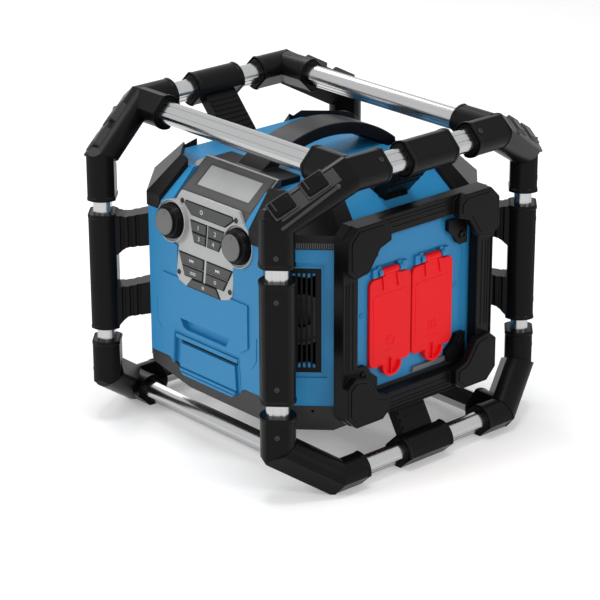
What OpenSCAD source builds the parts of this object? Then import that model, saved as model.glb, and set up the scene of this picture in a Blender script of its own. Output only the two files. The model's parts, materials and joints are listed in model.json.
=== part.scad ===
// Jobsite radio: an octagonal housing with four corner speakers, hung in a cage of
// grooved aluminium rails. Millimetres. Z is up, the control panel faces -Y and the
// socket panel faces +X. The origin is on the floor, under the middle of the cage.

/* [Cage] */
// Distance between the left and the right rails
cage_w = 363; // [350:1:380]
// Height between the lower and the upper rails
cage_h = 352; // [346:0.5:362]
// Distance between the front and the rear upper rails
top_rail_gap = 228; // [216:1:240]
// Distance between the front and the rear lower rails
low_rail_gap = 262; // [250:1:276]
// Distance between the left and the right posts
post_gap_x = 306; // [298:1:314]
// Distance between the front and the rear posts
post_gap_y = 383; // [375:1:392]
// How far the posts end below the upper rails
shoulder_drop = 43.5; // [38:0.5:50]
// How far the posts start above the lower rails
knee_rise = 42; // [36:0.5:48]
// Width of a rail across its round sides
rail_w = 27; // [24:0.5:28]
// Thickness of a rail across its flats
rail_t = 20; // [18:0.5:22]
// Wall of a rail
rail_wall = 2; // [1.5:0.1:3]
// Rubber around a rail on its round sides
sleeve_wall_w = 6.5; // [5:0.5:7.5]
// Rubber around a rail on its flats
sleeve_wall_t = 6; // [5:0.5:7]
// Gap between a rail and the rubber around it
rail_fit = 0.1; // [0.05:0.05:0.2]
// Distance of a rail's end from the corner it points at
rail_end_gap = 24; // [22:1:28]
// Reach of an upper corner over the rails that run left to right
top_collar_x = 55; // [48:1:60]
// Reach of an upper corner over the rails that run front to back
top_collar_y = 47; // [42:1:52]
// Reach of a lower corner over its rails
low_collar = 36; // [34:1:44]
// Reach of an upper corner down its post
top_collar_z = 49; // [42:1:54]
// Reach of a lower corner up its post
low_collar_z = 43; // [38:1:50]
// Length of the two raised pads on an upper corner
pad_len = 29; // [24:1:32]
// Height of the raised pads
pad_rise = 2.4; // [1:0.2:3]

/* [Sleeves and brackets] */
// Length of a post sleeve
post_sleeve_len = 142; // [130:1:150]
// Height of a post sleeve's middle above the housing's lower edge
post_sleeve_mid = 92; // [86:1:98]
// Width of a post sleeve's arm
arm_w = 26; // [20:1:30]
// Height of a post sleeve's arm where it meets the housing
arm_h = 40; // [34:1:44]
// How much higher an arm is at the sleeve
arm_flare = 12; // [6:1:14]
// Depth of the flutes on the arms
flute_depth = 1.6; // [1:0.2:2.4]
// Length of a rail bracket's sleeve
bracket_len = 70; // [60:1:76]
// Width of a rail bracket's arm
bracket_arm_w = 46; // [38:1:50]
// Thickness of a rail bracket's arm
bracket_arm_t = 13; // [10:0.5:16]

/* [Housing] */
// Width of the housing, left to right
body_w = 321; // [315:1:325]
// Depth of the housing, front to back
body_d = 332; // [328:1:335]
// Size of the corner chamfers that hold the speakers
body_chamfer = 60; // [56:1:64]
// Height of the housing's lower edge above the floor
body_low = 98; // [94:1:102]
// Height of the housing's walls
body_h = 187.5; // [183:0.5:192]
// Wall of the housing
body_wall = 4; // [3:0.5:5]
// Height of the black base
base_h = 38; // [34:1:42]
// How far the base tapers in at the sides
base_taper = 5.5; // [4:0.5:8]
// How far the base tapers in at the front and the rear
base_taper_y = 14; // [10:1:18]
// How far left of the middle the base's left slope ends
base_slope_x = 47; // [46:1:60]
// Height of the top cover's slopes
slope_h = 37.3; // [34:0.1:39]
// Height of a corner cap's rim below the slopes
cap_rim_h = 9; // [7:0.5:11]
// How far a corner cap stands proud of the housing
cap_proud = 1.5; // [1:0.1:2]
// How far a corner cap's wall rises above the slopes' lower edge
cap_wall_rise = 7.5; // [5:0.5:12]
// How far a corner cap rises above the top
cap_top_rise = 9; // [6:0.5:11]

/* [Speakers] */
// Height of a speaker grille's opening
grille_h = 124; // [116:1:130]
// Width of a speaker grille's opening
grille_w = 44; // [40:1:48]
// Height of a grille's middle above the housing's lower edge
grille_mid = 94; // [90:1:98]
// Pitch of the grille's bars
bar_pitch = 5.5; // [5:0.1:6.5]
// Thickness of the grille's bars
bar_t = 2.6; // [2:0.1:3]
// Diameter of a corner speaker's cone
cone_d = 52; // [46:1:56]
// Diameter of the subwoofer
sub_d = 130; // [120:1:140]

/* [Control panel] */
// Lean of the control panel, in degrees
panel_lean = 5.9; // [4:0.1:7]
// Thickness of the control panel
panel_t = 4; // [3:0.5:5]
// Half the distance between the knobs
knob_x = 58.5; // [56:0.5:60]
// Distance of the knobs below the housing's upper edge; the whole control panel follows them
knob_z = 18; // [15.5:0.5:20.5]
// Diameter of a knob's skirt
knob_d = 43; // [38:0.5:45]
// Diameter of a knob's cap
knob_cap_d = 32; // [28:0.5:34]
// How far a knob stands out
knob_h = 16; // [13:0.5:19]
// Diameter of a knob's shaft
knob_shaft_d = 6; // [5:0.5:7]
// Diameter of the silver collar under a knob
knob_collar_d = 50; // [47:0.5:51]
// Travel of a key
key_travel = 1; // [0.6:0.1:1.4]
// Gap around a key
key_gap = 0.4; // [0.3:0.05:0.6]
// Height of a key above the panel
key_rise = 1.6; // [1.4:0.1:2.2]
// Half the width of the display's window
lcd_half_w = 45.5; // [42:0.5:48]
// Length of the display's window down the slope
lcd_len = 30; // [27:0.5:32]

/* [Socket panel] */
// Width of a socket flap
flap_w = 64; // [60:1:66]
// Height of a socket flap
flap_h = 107; // [100:1:112]
// Thickness of a socket flap
flap_t = 4; // [3:0.5:5]
// Gap between the two flaps
flap_gap = 2; // [1:0.5:3]
// Height of a flap's lower edge above the housing's lower edge
flap_low = 25; // [22:1:30]
// Diameter of a flap's hinge pin
flap_pin_d = 4; // [3:0.25:4.5]
// Radial play of a hinge or a shaft
pivot_play = 0.05; // [0.02:0.01:0.1]
// Diameter of a socket's recess
socket_d = 40; // [36:1:44]
// Depth of a socket's recess
socket_depth = 16; // [12:1:18]
// Half the width of the bumper frame
bumper_half = 117.5; // [114:0.5:120]
// How far the bumper frame reaches below the housing
bumper_low = 28; // [25:1:31]
// How far the bumper frame rises above the housing's walls
bumper_high = 22.5; // [18.5:0.5:26.5]
// Width of the bumper's bars
bumper_bar = 24; // [20:1:28]
// How far the bumper's bars stand out of the housing
bumper_out = 16; // [13:0.5:18]
// How far the bumper's corner pads stand out of the bars
bumper_pad_out = 10; // [8:0.5:12]

/* [Handle] */
// Width of the carrying handle
handle_w = 42; // [38:1:46]
// Thickness of the carrying handle
handle_t = 14.5; // [12:0.5:16]
// Outer radius of the handle's arch
handle_r = 175; // [170:1:180]
// Depth of the arch's centre below the flat top
handle_centre_z = 133.8; // [131.8:0.2:136.8]

/* [Doors] */
// Width of the battery door
door_w = 120; // [110:1:130]
// Height of the battery door
door_h = 130; // [120:1:136]
// Thickness of the doors
door_t = 3.5; // [3:0.25:4.5]
// Width of the device bay's door
bay_w = 110; // [100:1:118]
// Height of the device bay's door
bay_h = 70; // [60:1:80]
// Diameter of the door pins
door_pin_d = 4; // [3:0.25:4.5]

/* [Fasteners] */
// Diameter of a screw head
screw_head_d = 6.4; // [5:0.2:7]
// Diameter of a screw's shank
screw_d = 3.5; // [3:0.25:4]

/* [Hidden] */
$fn = 48;
corners = [["front_left", -1, -1], ["front_right", 1, -1], ["rear_right", 1, 1], ["rear_left", -1, 1]];

// Rails and rubber
rubber = [0.09, 0.09, 0.1];
metal = [0.78, 0.79, 0.8];
blue = [0.16, 0.42, 0.66];
graphite = [0.24, 0.25, 0.27];
silver = [0.72, 0.73, 0.74];
red = [0.9, 0.15, 0.18];
board_green = [0.1, 0.35, 0.2];
sleeve_w = rail_w + 2 * sleeve_wall_w;
sleeve_t = rail_t + 2 * sleeve_wall_t;
sole_cut = 2;
foot_z = sleeve_w / 2 - sole_cut;
top_z = foot_z + cage_h;
shoulder_z = top_z - shoulder_drop;
knee_z = foot_z + knee_rise;
top_node = [cage_w / 2, top_rail_gap / 2, top_z];
shoulder = [post_gap_x / 2, post_gap_y / 2, shoulder_z];
knee = [post_gap_x / 2, post_gap_y / 2, knee_z];
low_node = [cage_w / 2, low_rail_gap / 2, foot_z];
post_end_gap = 14;
sleeve_z = body_low + post_sleeve_mid;
neck_step = 0.8;
knuckle = sleeve_w / 2 + 0.4;
collar_bite = 6;
pad_starts = [0.26, 0.71];
pad_span = [-5, 17];
pad_sink = 6;
past = 1;
arm_sink = 2;
arm_web = [arm_h + arm_flare - 1, arm_h - 2, arm_h];
upper_arm = [-1, -3, 3];
lower_arm = [1, 15, 20];
flute_r = 2.5;
flute_start = 7;
flute_pitch = 9;
flute_over = 10;
arm_rib = [4, 2];
arm_rib_pitch = 9;
arm_rib_start = 6;
low_arm_end = [13, 16];
left_arm_end = [40, 30];
groove_w = 1.8;
groove_deep = 0.9;

// Housing
half_w = body_w / 2;
half_d = body_d / 2;
body_top = body_low + body_h;
top_face = body_top + slope_h;
cap_top = top_face + cap_top_rise;
base_low = body_low - base_h;
slope_edge = 3;
skirt_drop = 8;
skirt_t = 2.5;
skirt_inset = 2;
base_hole_drop = 15;
base_hole_gap = 24;
base_hole_deep = 12;
face_mid = [half_w - body_chamfer / 2, half_d - body_chamfer / 2, 0];
chamfer_len = body_chamfer * sqrt(2);
inner_w = body_w - 2 * body_wall;
inner_d = body_d - 2 * body_wall;
inner_chamfer = body_chamfer - body_wall * (2 - sqrt(2));
cap_side = [[30, 81], [37, 94], [-cap_proud, 84]];
cap_front = [[82.5, -cap_proud], [90.5, 36], [68.5, 43]];
seat_gap = 0.15;
slope_len = slope_h * sqrt(2);
notch_low = 17.5;
notch_high = 30;
notch_y = slope_len - 22;
notch_deep = 9;
rib_h = 1.4;

// Front: [half width, height above the housing's lower edge] down each half outline
front_t = 14;
front_half = half_w - body_chamfer - 6;
front_rise = 2;
front_panel = [[75, 104], [75, 52], [62, 44]];
grip_slot = [[44, 55], [36, 42]];
label_well = [[56, 35], [60, -14]];
label_plate = [[48, 22], [50, -8]];
grip_deep = 6;
label_deep = 5;
label_sink = 0.5;
apron = [[68, past], [44, -17]];

// Control panel: x to the right, y up the panel from the knobs, z out of it
panel_rise = 58;
panel_foot = [0, -half_d - 1, body_top - knob_z - panel_rise];
panel_edge = [[50, 37.5], [knob_x, 25.5], [knob_x, -24.5], [49, -27.5], [49, -61.5], [44, -67.5],
    [30, -71.5]];
power_edge = [[40, 27.5], [42, 24.5], [29, 14.5]];
mode_edge = [[21, -61], [28, -70]];
power_y = 21;
mode_y = -65.5;
panel_screws = [[46.8, 26.2], [44.8, -58]];
key_window = [42, -68.5, 17];
key_stem_d = 4;
key_t = panel_t + key_rise - key_travel - 0.3;
pocket_deep = 40;
pocket_out = 34;
board_gap = 0.5;
board_t = 1.6;
stem_len = 6;
collar_h = 6;
collar_rim = 1.2;
collar_sink = 3;
knob_lift = 0.4;
skirt_h = 9;
encoder_d = 14;
encoder_len = 14;
encoder_floor = 1.6;
shaft_len = encoder_len - encoder_floor - knob_lift;

// Display
hood_half = 62;
hood_rise = 10;
hood_start = 12;
hood_end = 61.5;
hood_front = -half_d + hood_start;
hood_back = -half_d + hood_end;
hood_flat = 3.5;
hood_lip = [6, 15];
hood_nose = 5;
hood_wall = 4;
hood_roof = 5.5;
hood_inset = 12;
hood_peak = top_face + hood_rise;
lip_y = hood_front + hood_lip[0];
lip_z = body_top + hood_lip[1];
window_t = 2;
bezel_lean = atan2(hood_peak - lip_z, hood_back - hood_flat - lip_y);
bezel_mid = 27;

// Speakers and what lies behind the doors
skin = 0.5;
grille_z = body_low + grille_mid;
grille_foot = grille_z - grille_h / 2;
frame_step = 2;
frame_w = 6;
grille_t = 3.5;
grille_edge = 6;
flange_t = 3;
flange_w = 4;
speaker_deep = 26;
sub_deep = 58;
sub_x = 25;
basket_share = [0.72, 0.6];
magnet_share = [0.55, 0.4];
cone_share = [0.4, 0.3];
cone_floor = 1;
vent_d = 12;
tray_wall = 3;
tray_deep = 70;
bay_deep = 50;
board_clear = 6.2;
board_side = 22.5;
board_x = sub_x + sub_d * basket_share[0] / 2 + board_clear;
board_half = 55;
power_board = [board_x, -board_half, half_w - board_side - board_x, 2 * board_half];
post_d = 6;
post_h = 10;

// Socket panel
side_face = half_w;
ear_w = 5;
ear_gap = 0.4;
ear_back = 3.4;
socket_z = body_low + 74;
flap_z = body_low + flap_low;
door_gap = 0.5;
wall_cut = 20;
flap_pin_z = flap_z + flap_h + 6;
flap_pin_x = side_face + flap_t / 2 + 0.8;
flap_mid = (flap_w + flap_gap) / 2;
tab_w = 26;
lip_r = 15;
panel_half = 84;
panel_low = body_low + seat_gap;
panel_high = body_top - 10.5;
socket_wall = 3;
pole_gap = 19;
pole_d = 5;
pin_boss_r = flap_pin_d / 2 + 2.4;
ear_top = 3;
trough_over = 2;
lip_rise = 4;

// Bumper: [inset from the side, height above the frame's foot] round a corner pad
bumper_gap = 0.3;
bumper_back = half_w + cap_proud + bumper_gap;
bumper_face = half_w + bumper_out;
bumper_foot = body_low - bumper_low;
bumper_top = body_top + bumper_high;
bumper_bevel = 18;
bumper_stud_d = 8;
stud_rise = 80;
stud_drop = 68;
bumper_studs = [bumper_foot + stud_rise, bumper_top - stud_drop];
pad_edge = [[0, 14], [14, 0], [54, 0], [65, 9], [65, 26], [48, 32], [32, 56], [12, 60], [0, 50]];

// Handle
handle_y = 4;
handle_z = top_face - handle_centre_z;
foot_start = 76;
foot_end = 54;
foot_front = half_d - foot_start;
foot_rear = half_d - foot_end;
foot_drop = 32;
foot_notch = 30;
tongue_end = 34;
tongue_rear = half_d - tongue_end;
tongue_drop = 9;
front_foot = [60, 31, 8];

// Doors
door_low = body_low + 10;
door_pin_z = door_low + 4;
bay_low = body_top - bay_h - 25.5;
bay_pin_z = bay_low + 4;
door_boss_r = door_pin_d / 2 + 2.2;

// Screws: height of a head, and distances from a sleeve's middle and from the collars' ends
screw_head_h = 0.8;
sleeve_screw = 51;
post_screw = 14;
collar_screw = 9;

function unit(v) = v / norm(v);

// The right-hand side of a direction in the plane
function side_of(v) = [v[1], -v[0]] / norm(v);

// An outline, listed counter-clockwise, with every edge moved out by gap
function grown(points, gap) = [for (i = [0:len(points) - 1])
    let (last = points[(i + len(points) - 1) % len(points)],
        next = points[(i + 1) % len(points)],
        before = side_of(points[i] - last),
        after = side_of(next - points[i]))
    points[i] + gap * (before + after) / (1 + before * after)];

// Places its children along the line from p to q, with their y axis towards out
module along(p, q, out) {
    z = unit(q - p);
    y = unit(out - (out * z) * z);
    x = cross(y, z);
    multmatrix([[x[0], y[0], z[0], p[0]], [x[1], y[1], z[1], p[1]], [x[2], y[2], z[2], p[2]]])
        children();
}

module at_corner(sx, sy) {
    mirror([sx < 0 ? 1 : 0, 0, 0])
        mirror([0, sy < 0 ? 1 : 0, 0])
            children();
}

// A round bar with two flats
module oval(w, t) {
    intersection() {
        circle(d = w);
        square([w + 2, t], center = true);
    }
}

// The rails' section: two flats with two grooves each, and a hollow
module rail_section() {
    difference() {
        oval(rail_w, rail_t);
        oval(rail_w - 2 * rail_wall, rail_t - 2 * rail_wall);
        for (side = [-1, 1], place = [-1, 1])
            translate([place * rail_w / 6, side * rail_t / 2])
                square([groove_w, 2 * groove_deep], center = true);
    }
}

module rail(p, q, out) {
    along(p, q, out)
        linear_extrude(norm(q - p))
            rail_section();
}

module sleeve(p, q, out, grow = 0) {
    along(p, q, out)
        linear_extrude(norm(q - p))
            oval(sleeve_w + 2 * grow, sleeve_t + 2 * grow);
}

// Keeps what lies behind the plane through p that faces n
module behind(p, n) {
    intersection() {
        children();
        along(p, p - n, [1, 0, 0])
            translate([-cage_w / 2, -cage_w / 2, 0])
                cube(cage_w);
    }
}

// A collar that ends mitred at the plane through q that faces cut
module collar(p, q, out, cut) {
    behind(q, cut)
        sleeve(p, q + sleeve_w * unit(q - p), out);
}

// A neck between two collars, mitred at both ends and a little thicker than they are
module neck(p, q, out, start_cut, end_cut) {
    run = unit(q - p);
    behind(q, end_cut)
        behind(p, -start_cut)
            sleeve(p - sleeve_w * run, q + sleeve_w * run, out, neck_step);
}

module rail_bore(p, q, out) {
    along(p, q, out)
        linear_extrude(norm(q - p))
            oval(rail_w + 2 * rail_fit, rail_t + 2 * rail_fit);
}

module rails_across() {
    color(metal)
        for (side = [-1, 1]) {
            rail([-top_node[0] + rail_end_gap, side * top_node[1], top_z],
                [top_node[0] - rail_end_gap, side * top_node[1], top_z], [0, side, 1]);
            rail([-low_node[0] + rail_end_gap, side * low_node[1], foot_z],
                [low_node[0] - rail_end_gap, side * low_node[1], foot_z], [0, side, -1]);
        }
}

module rails_along() {
    color(metal)
        for (side = [-1, 1]) {
            rail([side * top_node[0], -top_node[1] + rail_end_gap, top_z],
                [side * top_node[0], top_node[1] - rail_end_gap, top_z], [side, 0, 1]);
            rail([side * low_node[0], -low_node[1] + rail_end_gap, foot_z],
                [side * low_node[0], low_node[1] - rail_end_gap, foot_z], [side, 0, -1]);
        }
}

module posts() {
    color(metal)
        for (c = corners)
            at_corner(c[1], c[2])
                rail(knee + [0, 0, post_end_gap], shoulder - [0, 0, post_end_gap], [1, 1, 0]);
}

// Upper corner: two collars, a slanting neck with raised pads and a post collar
module corner_top(sx, sy) {
    neck_out = [1, 1, 1.2];
    run = unit(shoulder - top_node);
    ahead = [0, 1, 0];
    up = [0, 0, 1];
    x_end = top_node - [top_collar_x, 0, 0];
    y_end = top_node - top_collar_y * ahead;
    z_end = shoulder - top_collar_z * up;
    color(rubber)
        at_corner(sx, sy)
            difference() {
                behind(top_node + knuckle * unit(ahead - run), ahead - run)
                    behind(shoulder + knuckle * unit(run + up), run + up)
                        union() {
                            sleeve(x_end, top_node - [collar_bite, 0, 0], [0, 1, 1]);
                            collar(y_end, top_node, [1, 0, 1], ahead + run);
                            neck(top_node, shoulder, neck_out, ahead + run, run - up);
                            collar(z_end, shoulder, [1, 1, 0], up - run);
                        }
                rail_bore(top_node - [rail_end_gap, 0, 0], x_end - [past, 0, 0], [0, 1, 1]);
                rail_bore(top_node - rail_end_gap * ahead, y_end - past * ahead, [1, 0, 1]);
                rail_bore(shoulder - post_end_gap * up, z_end - past * up, [1, 1, 0]);
            }
    color(rubber)
        at_corner(sx, sy)
            along(top_node, shoulder, neck_out)
                for (start = pad_starts)
                    translate([pad_span[0], pad_sink, norm(shoulder - top_node) * start])
                        cube([pad_span[1] - pad_span[0], sleeve_t / 2 - pad_sink + pad_rise, pad_len]);
}

// What is cut off to give the lower fittings flat soles
module below_floor() {
    translate([-cage_w, -cage_w, -sleeve_w])
        cube([2 * cage_w, 2 * cage_w, sleeve_w]);
}

// Lower corner: the foot of the cage
module corner_low(sx, sy) {
    run = unit(knee - low_node);
    ahead = [0, 1, 0];
    up = [0, 0, 1];
    x_end = low_node - [low_collar, 0, 0];
    y_end = low_node - low_collar * ahead;
    z_end = knee + low_collar_z * up;
    color(rubber)
        at_corner(sx, sy)
            difference() {
                behind(low_node + knuckle * unit(ahead - run), ahead - run)
                    behind(knee + knuckle * unit(run - up), run - up)
                        union() {
                            sleeve(x_end, low_node - [collar_bite, 0, 0], [0, 1, -1]);
                            collar(y_end, low_node, [1, 0, -1], ahead + run);
                            neck(low_node, knee, [1, 1, -0.8], ahead + run, run + up);
                            collar(z_end, knee, [1, 1, 0], -up - run);
                        }
                rail_bore(low_node - [rail_end_gap, 0, 0], x_end - [past, 0, 0], [0, 1, -1]);
                rail_bore(low_node - rail_end_gap * ahead, y_end - past * ahead, [1, 0, -1]);
                rail_bore(knee + post_end_gap * up, z_end + past * up, [1, 1, 0]);
                below_floor();
            }
}

// An arm's outline: its outer edge lies edge[i] from level, and its web points in by sense
module arm_outline(places, level, edge, sense) {
    outer = [for (i = [0:2]) [places[i], level + edge[i]]];
    inner = [for (i = [2:-1:0]) [places[i], level + edge[i] + sense * arm_web[i]]];
    polygon(concat(outer, inner));
}

// Post sleeve with two fluted arms that reach in to the speaker corner
module post_sleeve(sx, sy) {
    low = sleeve_z - post_sleeve_len / 2;
    high = sleeve_z + post_sleeve_len / 2;
    reach = (post_gap_x + post_gap_y - body_w - body_d + 2 * body_chamfer) / 2 / sqrt(2);
    places = [sleeve_t / 2 - arm_sink, reach / 2, reach];
    post_foot = [post_gap_x / 2, post_gap_y / 2, low];
    color(rubber)
        at_corner(sx, sy)
            difference() {
                union() {
                    sleeve(post_foot, post_foot + [0, 0, post_sleeve_len], [1, 1, 0]);
                    translate([post_gap_x / 2, post_gap_y / 2, 0])
                        rotate([0, 0, -135])
                            rotate([90, 0, 0])
                                translate([0, 0, -arm_w / 2]) {
                                    linear_extrude(arm_w)
                                        arm_outline(places, high, upper_arm, -1);
                                    linear_extrude(arm_w)
                                        arm_outline(places, low, lower_arm, 1);
                                }
                }
                rail_bore(post_foot - [0, 0, past], post_foot + [0, 0, post_sleeve_len + past],
                    [1, 1, 0]);
                translate([post_gap_x / 2, post_gap_y / 2, low - flute_over])
                    rotate([0, 0, -135])
                        for (side = [-1, 1], step = [0:2])
                            translate([sleeve_t / 2 + flute_start + step * flute_pitch,
                                side * (arm_w / 2 + flute_r - flute_depth), 0])
                                cylinder(r = flute_r, h = post_sleeve_len + 2 * flute_over);
            }
}

// Places its children on a side slope of the top cover: y up the slope, z out of it
module on_slope(sx) {
    s = sqrt(0.5);
    at_corner(sx, 1)
        multmatrix([[0, -s, s, half_w], [1, 0, 0, 0], [0, s, s, body_top]])
            children();
}

module notch_outline(grow) {
    twin([[notch_high, slope_len], [notch_low, notch_y]], grow);
}

// Upper rail bracket: a short sleeve with a ribbed arm down to the notch in the slope
module bracket_top(sx) {
    root = [cage_w / 2, 0, top_z];
    down = (notch_y + slope_len) / 2 / sqrt(2);
    tip = [half_w - down, 0, body_top + down];
    run = norm(root - tip);
    color(rubber) {
        at_corner(sx, 1)
            difference() {
                union() {
                    sleeve(root - [0, bracket_len / 2, 0], root + [0, bracket_len / 2, 0], [1, 0, 1]);
                    along(root, tip, [1, 0, -1])
                        translate([-bracket_arm_w / 2, -bracket_arm_t / 2, sleeve_t / 2 - arm_sink])
                            cube([bracket_arm_w, bracket_arm_t, run - sleeve_t / 2 + arm_sink]);
                    along(root, tip, [1, 0, -1])
                        for (step = [0:3])
                            translate([-bracket_arm_w / 2 + arm_rib[1], bracket_arm_t / 2 - past,
                                sleeve_t / 2 + arm_rib_start + step * arm_rib_pitch])
                                cube([bracket_arm_w - 2 * arm_rib[1], past + rib_h, arm_rib[0]]);
                }
                rail_bore(root - [0, bracket_len / 2 + past, 0],
                    root + [0, bracket_len / 2 + past, 0], [1, 0, 1]);
            }
        on_slope(sx)
            translate([0, 0, -notch_deep])
                linear_extrude(notch_deep)
                    notch_outline(-seat_gap);
    }
}

// Lower rail bracket: a short sleeve with a ribbed arm up to the side of the base
module bracket_low(sx) {
    root = [cage_w / 2, 0, foot_z];
    tip = sx < 0 ? [half_w - left_arm_end[0], 0, base_low + left_arm_end[1]]
        : [half_w - low_arm_end[0], 0, base_low + low_arm_end[1]];
    run = norm(root - tip);
    color(rubber)
        at_corner(sx, 1)
            difference() {
                union() {
                    sleeve(root - [0, bracket_len / 2, 0], root + [0, bracket_len / 2, 0],
                        [1, 0, -1]);
                    along(root, tip, [1, 0, 0.4])
                        translate([-bracket_arm_w / 2, -bracket_arm_t / 2, sleeve_t / 2 - 2 * arm_sink])
                            cube([bracket_arm_w, bracket_arm_t, run - sleeve_t / 2 + 2 * arm_sink]);
                    along(root, tip, [1, 0, 0.4])
                        for (step = [0:2])
                            translate([-bracket_arm_w / 2 + arm_rib[1], bracket_arm_t / 2 - past,
                                sleeve_t / 2 + arm_rib_start + step * arm_rib_pitch])
                                cube([bracket_arm_w - 2 * arm_rib[1], past + rib_h, arm_rib[0]]);
                }
                rail_bore(root - [0, bracket_len / 2 + past, 0],
                    root + [0, bracket_len / 2 + past, 0], [1, 0, -1]);
                at_corner(sx, 1)
                    base_solid();
                below_floor();
            }
}

// Plan outline of the housing
module plan(w, d, c) {
    polygon([[w / 2 - c, -d / 2], [w / 2, -d / 2 + c], [w / 2, d / 2 - c], [w / 2 - c, d / 2],
        [-w / 2 + c, d / 2], [-w / 2, d / 2 - c], [-w / 2, -d / 2 + c], [-w / 2 + c, -d / 2]]);
}

// Places its children on a corner chamfer: x along it, y up, z out of it
module on_chamfer(sx, sy) {
    at_corner(sx, sy)
        translate(face_mid)
            rotate([0, 0, 135])
                rotate([90, 0, 0])
                    children();
}

// Places its children on the control panel's face, with z out of it
module on_panel() {
    translate(panel_foot)
        rotate([90 - panel_lean, 0, 0])
            translate([0, panel_rise, 0])
                children();
}

// A left-right symmetrical outline from the points down its right half, grown by grow
module twin(half, grow = 0, base = 0) {
    left = [for (p = half) [-p[0], p[1]]];
    right = [for (i = [len(half) - 1:-1:0]) half[i]];
    translate([0, base])
        polygon(grown(concat(left, right), grow));
}

// Places its children upright on the front face, with z towards the front
module on_front() {
    translate([0, -half_d, 0])
        rotate([90, 0, 0])
            children();
}

// What the slope under the left side takes off the base, raised by lift
module left_slope(lift) {
    translate([0, half_d + past, lift])
        rotate([90, 0, 0])
            linear_extrude(body_d + 2 * past)
                polygon([[-base_slope_x, base_low - lift - past], [-base_slope_x, base_low],
                    [-half_w, body_low - slope_edge], [-half_w - past, body_low - slope_edge],
                    [-half_w - past, base_low - lift - past]]);
}

// Base: a tapered pan with a vent ring under the subwoofer
module base_solid() {
    difference() {
        hull() {
            translate([0, 0, base_low])
                linear_extrude(skin)
                    plan(body_w - 2 * base_taper, body_d - 2 * base_taper_y,
                        body_chamfer - base_taper - base_taper_y + past);
            translate([0, 0, body_low - skin])
                linear_extrude(skin)
                    plan(body_w, body_d, body_chamfer);
        }
        left_slope(0);
    }
}

// The lip of a speaker corner that reaches down over the base
module skirt(grow) {
    translate([skirt_inset - chamfer_len / 2 - grow, body_low - skirt_drop - grow, -skirt_t - grow])
        cube([chamfer_len - 2 * (skirt_inset - grow), skirt_drop + grow + (grow > 0 ? 0 : past),
            skirt_t + (grow > 0 ? skirt_t : 0)]);
}

module base() {
    color(rubber)
        difference() {
            base_solid();
            difference() {
                translate([0, 0, base_low + body_wall])
                    linear_extrude(base_h)
                        plan(inner_w - 2 * base_taper, inner_d - 2 * base_taper_y - 2 * front_t,
                            inner_chamfer - base_taper - base_taper_y);
                left_slope(body_wall);
            }
            on_front()
                translate([0, 0, -front_t])
                    linear_extrude(front_t + past)
                        twin(apron, seat_gap, body_low);
            for (turn = [0:7], ring = [0.3, 0.62])
                translate([sub_x, 0, base_low - past])
                    rotate([0, 0, turn * 45])
                        translate([sub_d / 2 * ring, 0, 0])
                            cylinder(d = vent_d, h = body_wall + 2 * past);
            for (c = corners)
                on_chamfer(c[1], c[2]) {
                    skirt(seat_gap);
                    for (side = [-1, 1])
                        translate([side * base_hole_gap / 2, body_low - base_hole_drop, -base_hole_deep])
                            cylinder(d = screw_d, h = 2 * base_hole_deep);
                }
        }
}

// Outline of the control panel: a waist with a collar round each knob
module panel_outline(grow) {
    twin(panel_edge, grow);
    for (side = [-1, 1])
        translate([side * knob_x, 0])
            circle(d = knob_collar_d + 2 * grow);
}

// Room for the control panel, its keys' stems and the encoders
module panel_pocket() {
    on_panel() {
        translate([0, 0, -panel_t - seat_gap])
            linear_extrude(pocket_out)
                panel_outline(seat_gap);
        translate([-key_window[0], key_window[1], -pocket_deep])
            cube([2 * key_window[0], key_window[2] - key_window[1], pocket_deep]);
        translate([0, power_y, -pocket_deep])
            cylinder(d = key_stem_d + 2, h = pocket_deep);
        for (side = [-1, 1])
            translate([side * knob_x, 0, -pocket_deep])
                cylinder(d = encoder_d + 1, h = pocket_deep);
    }
}

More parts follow.
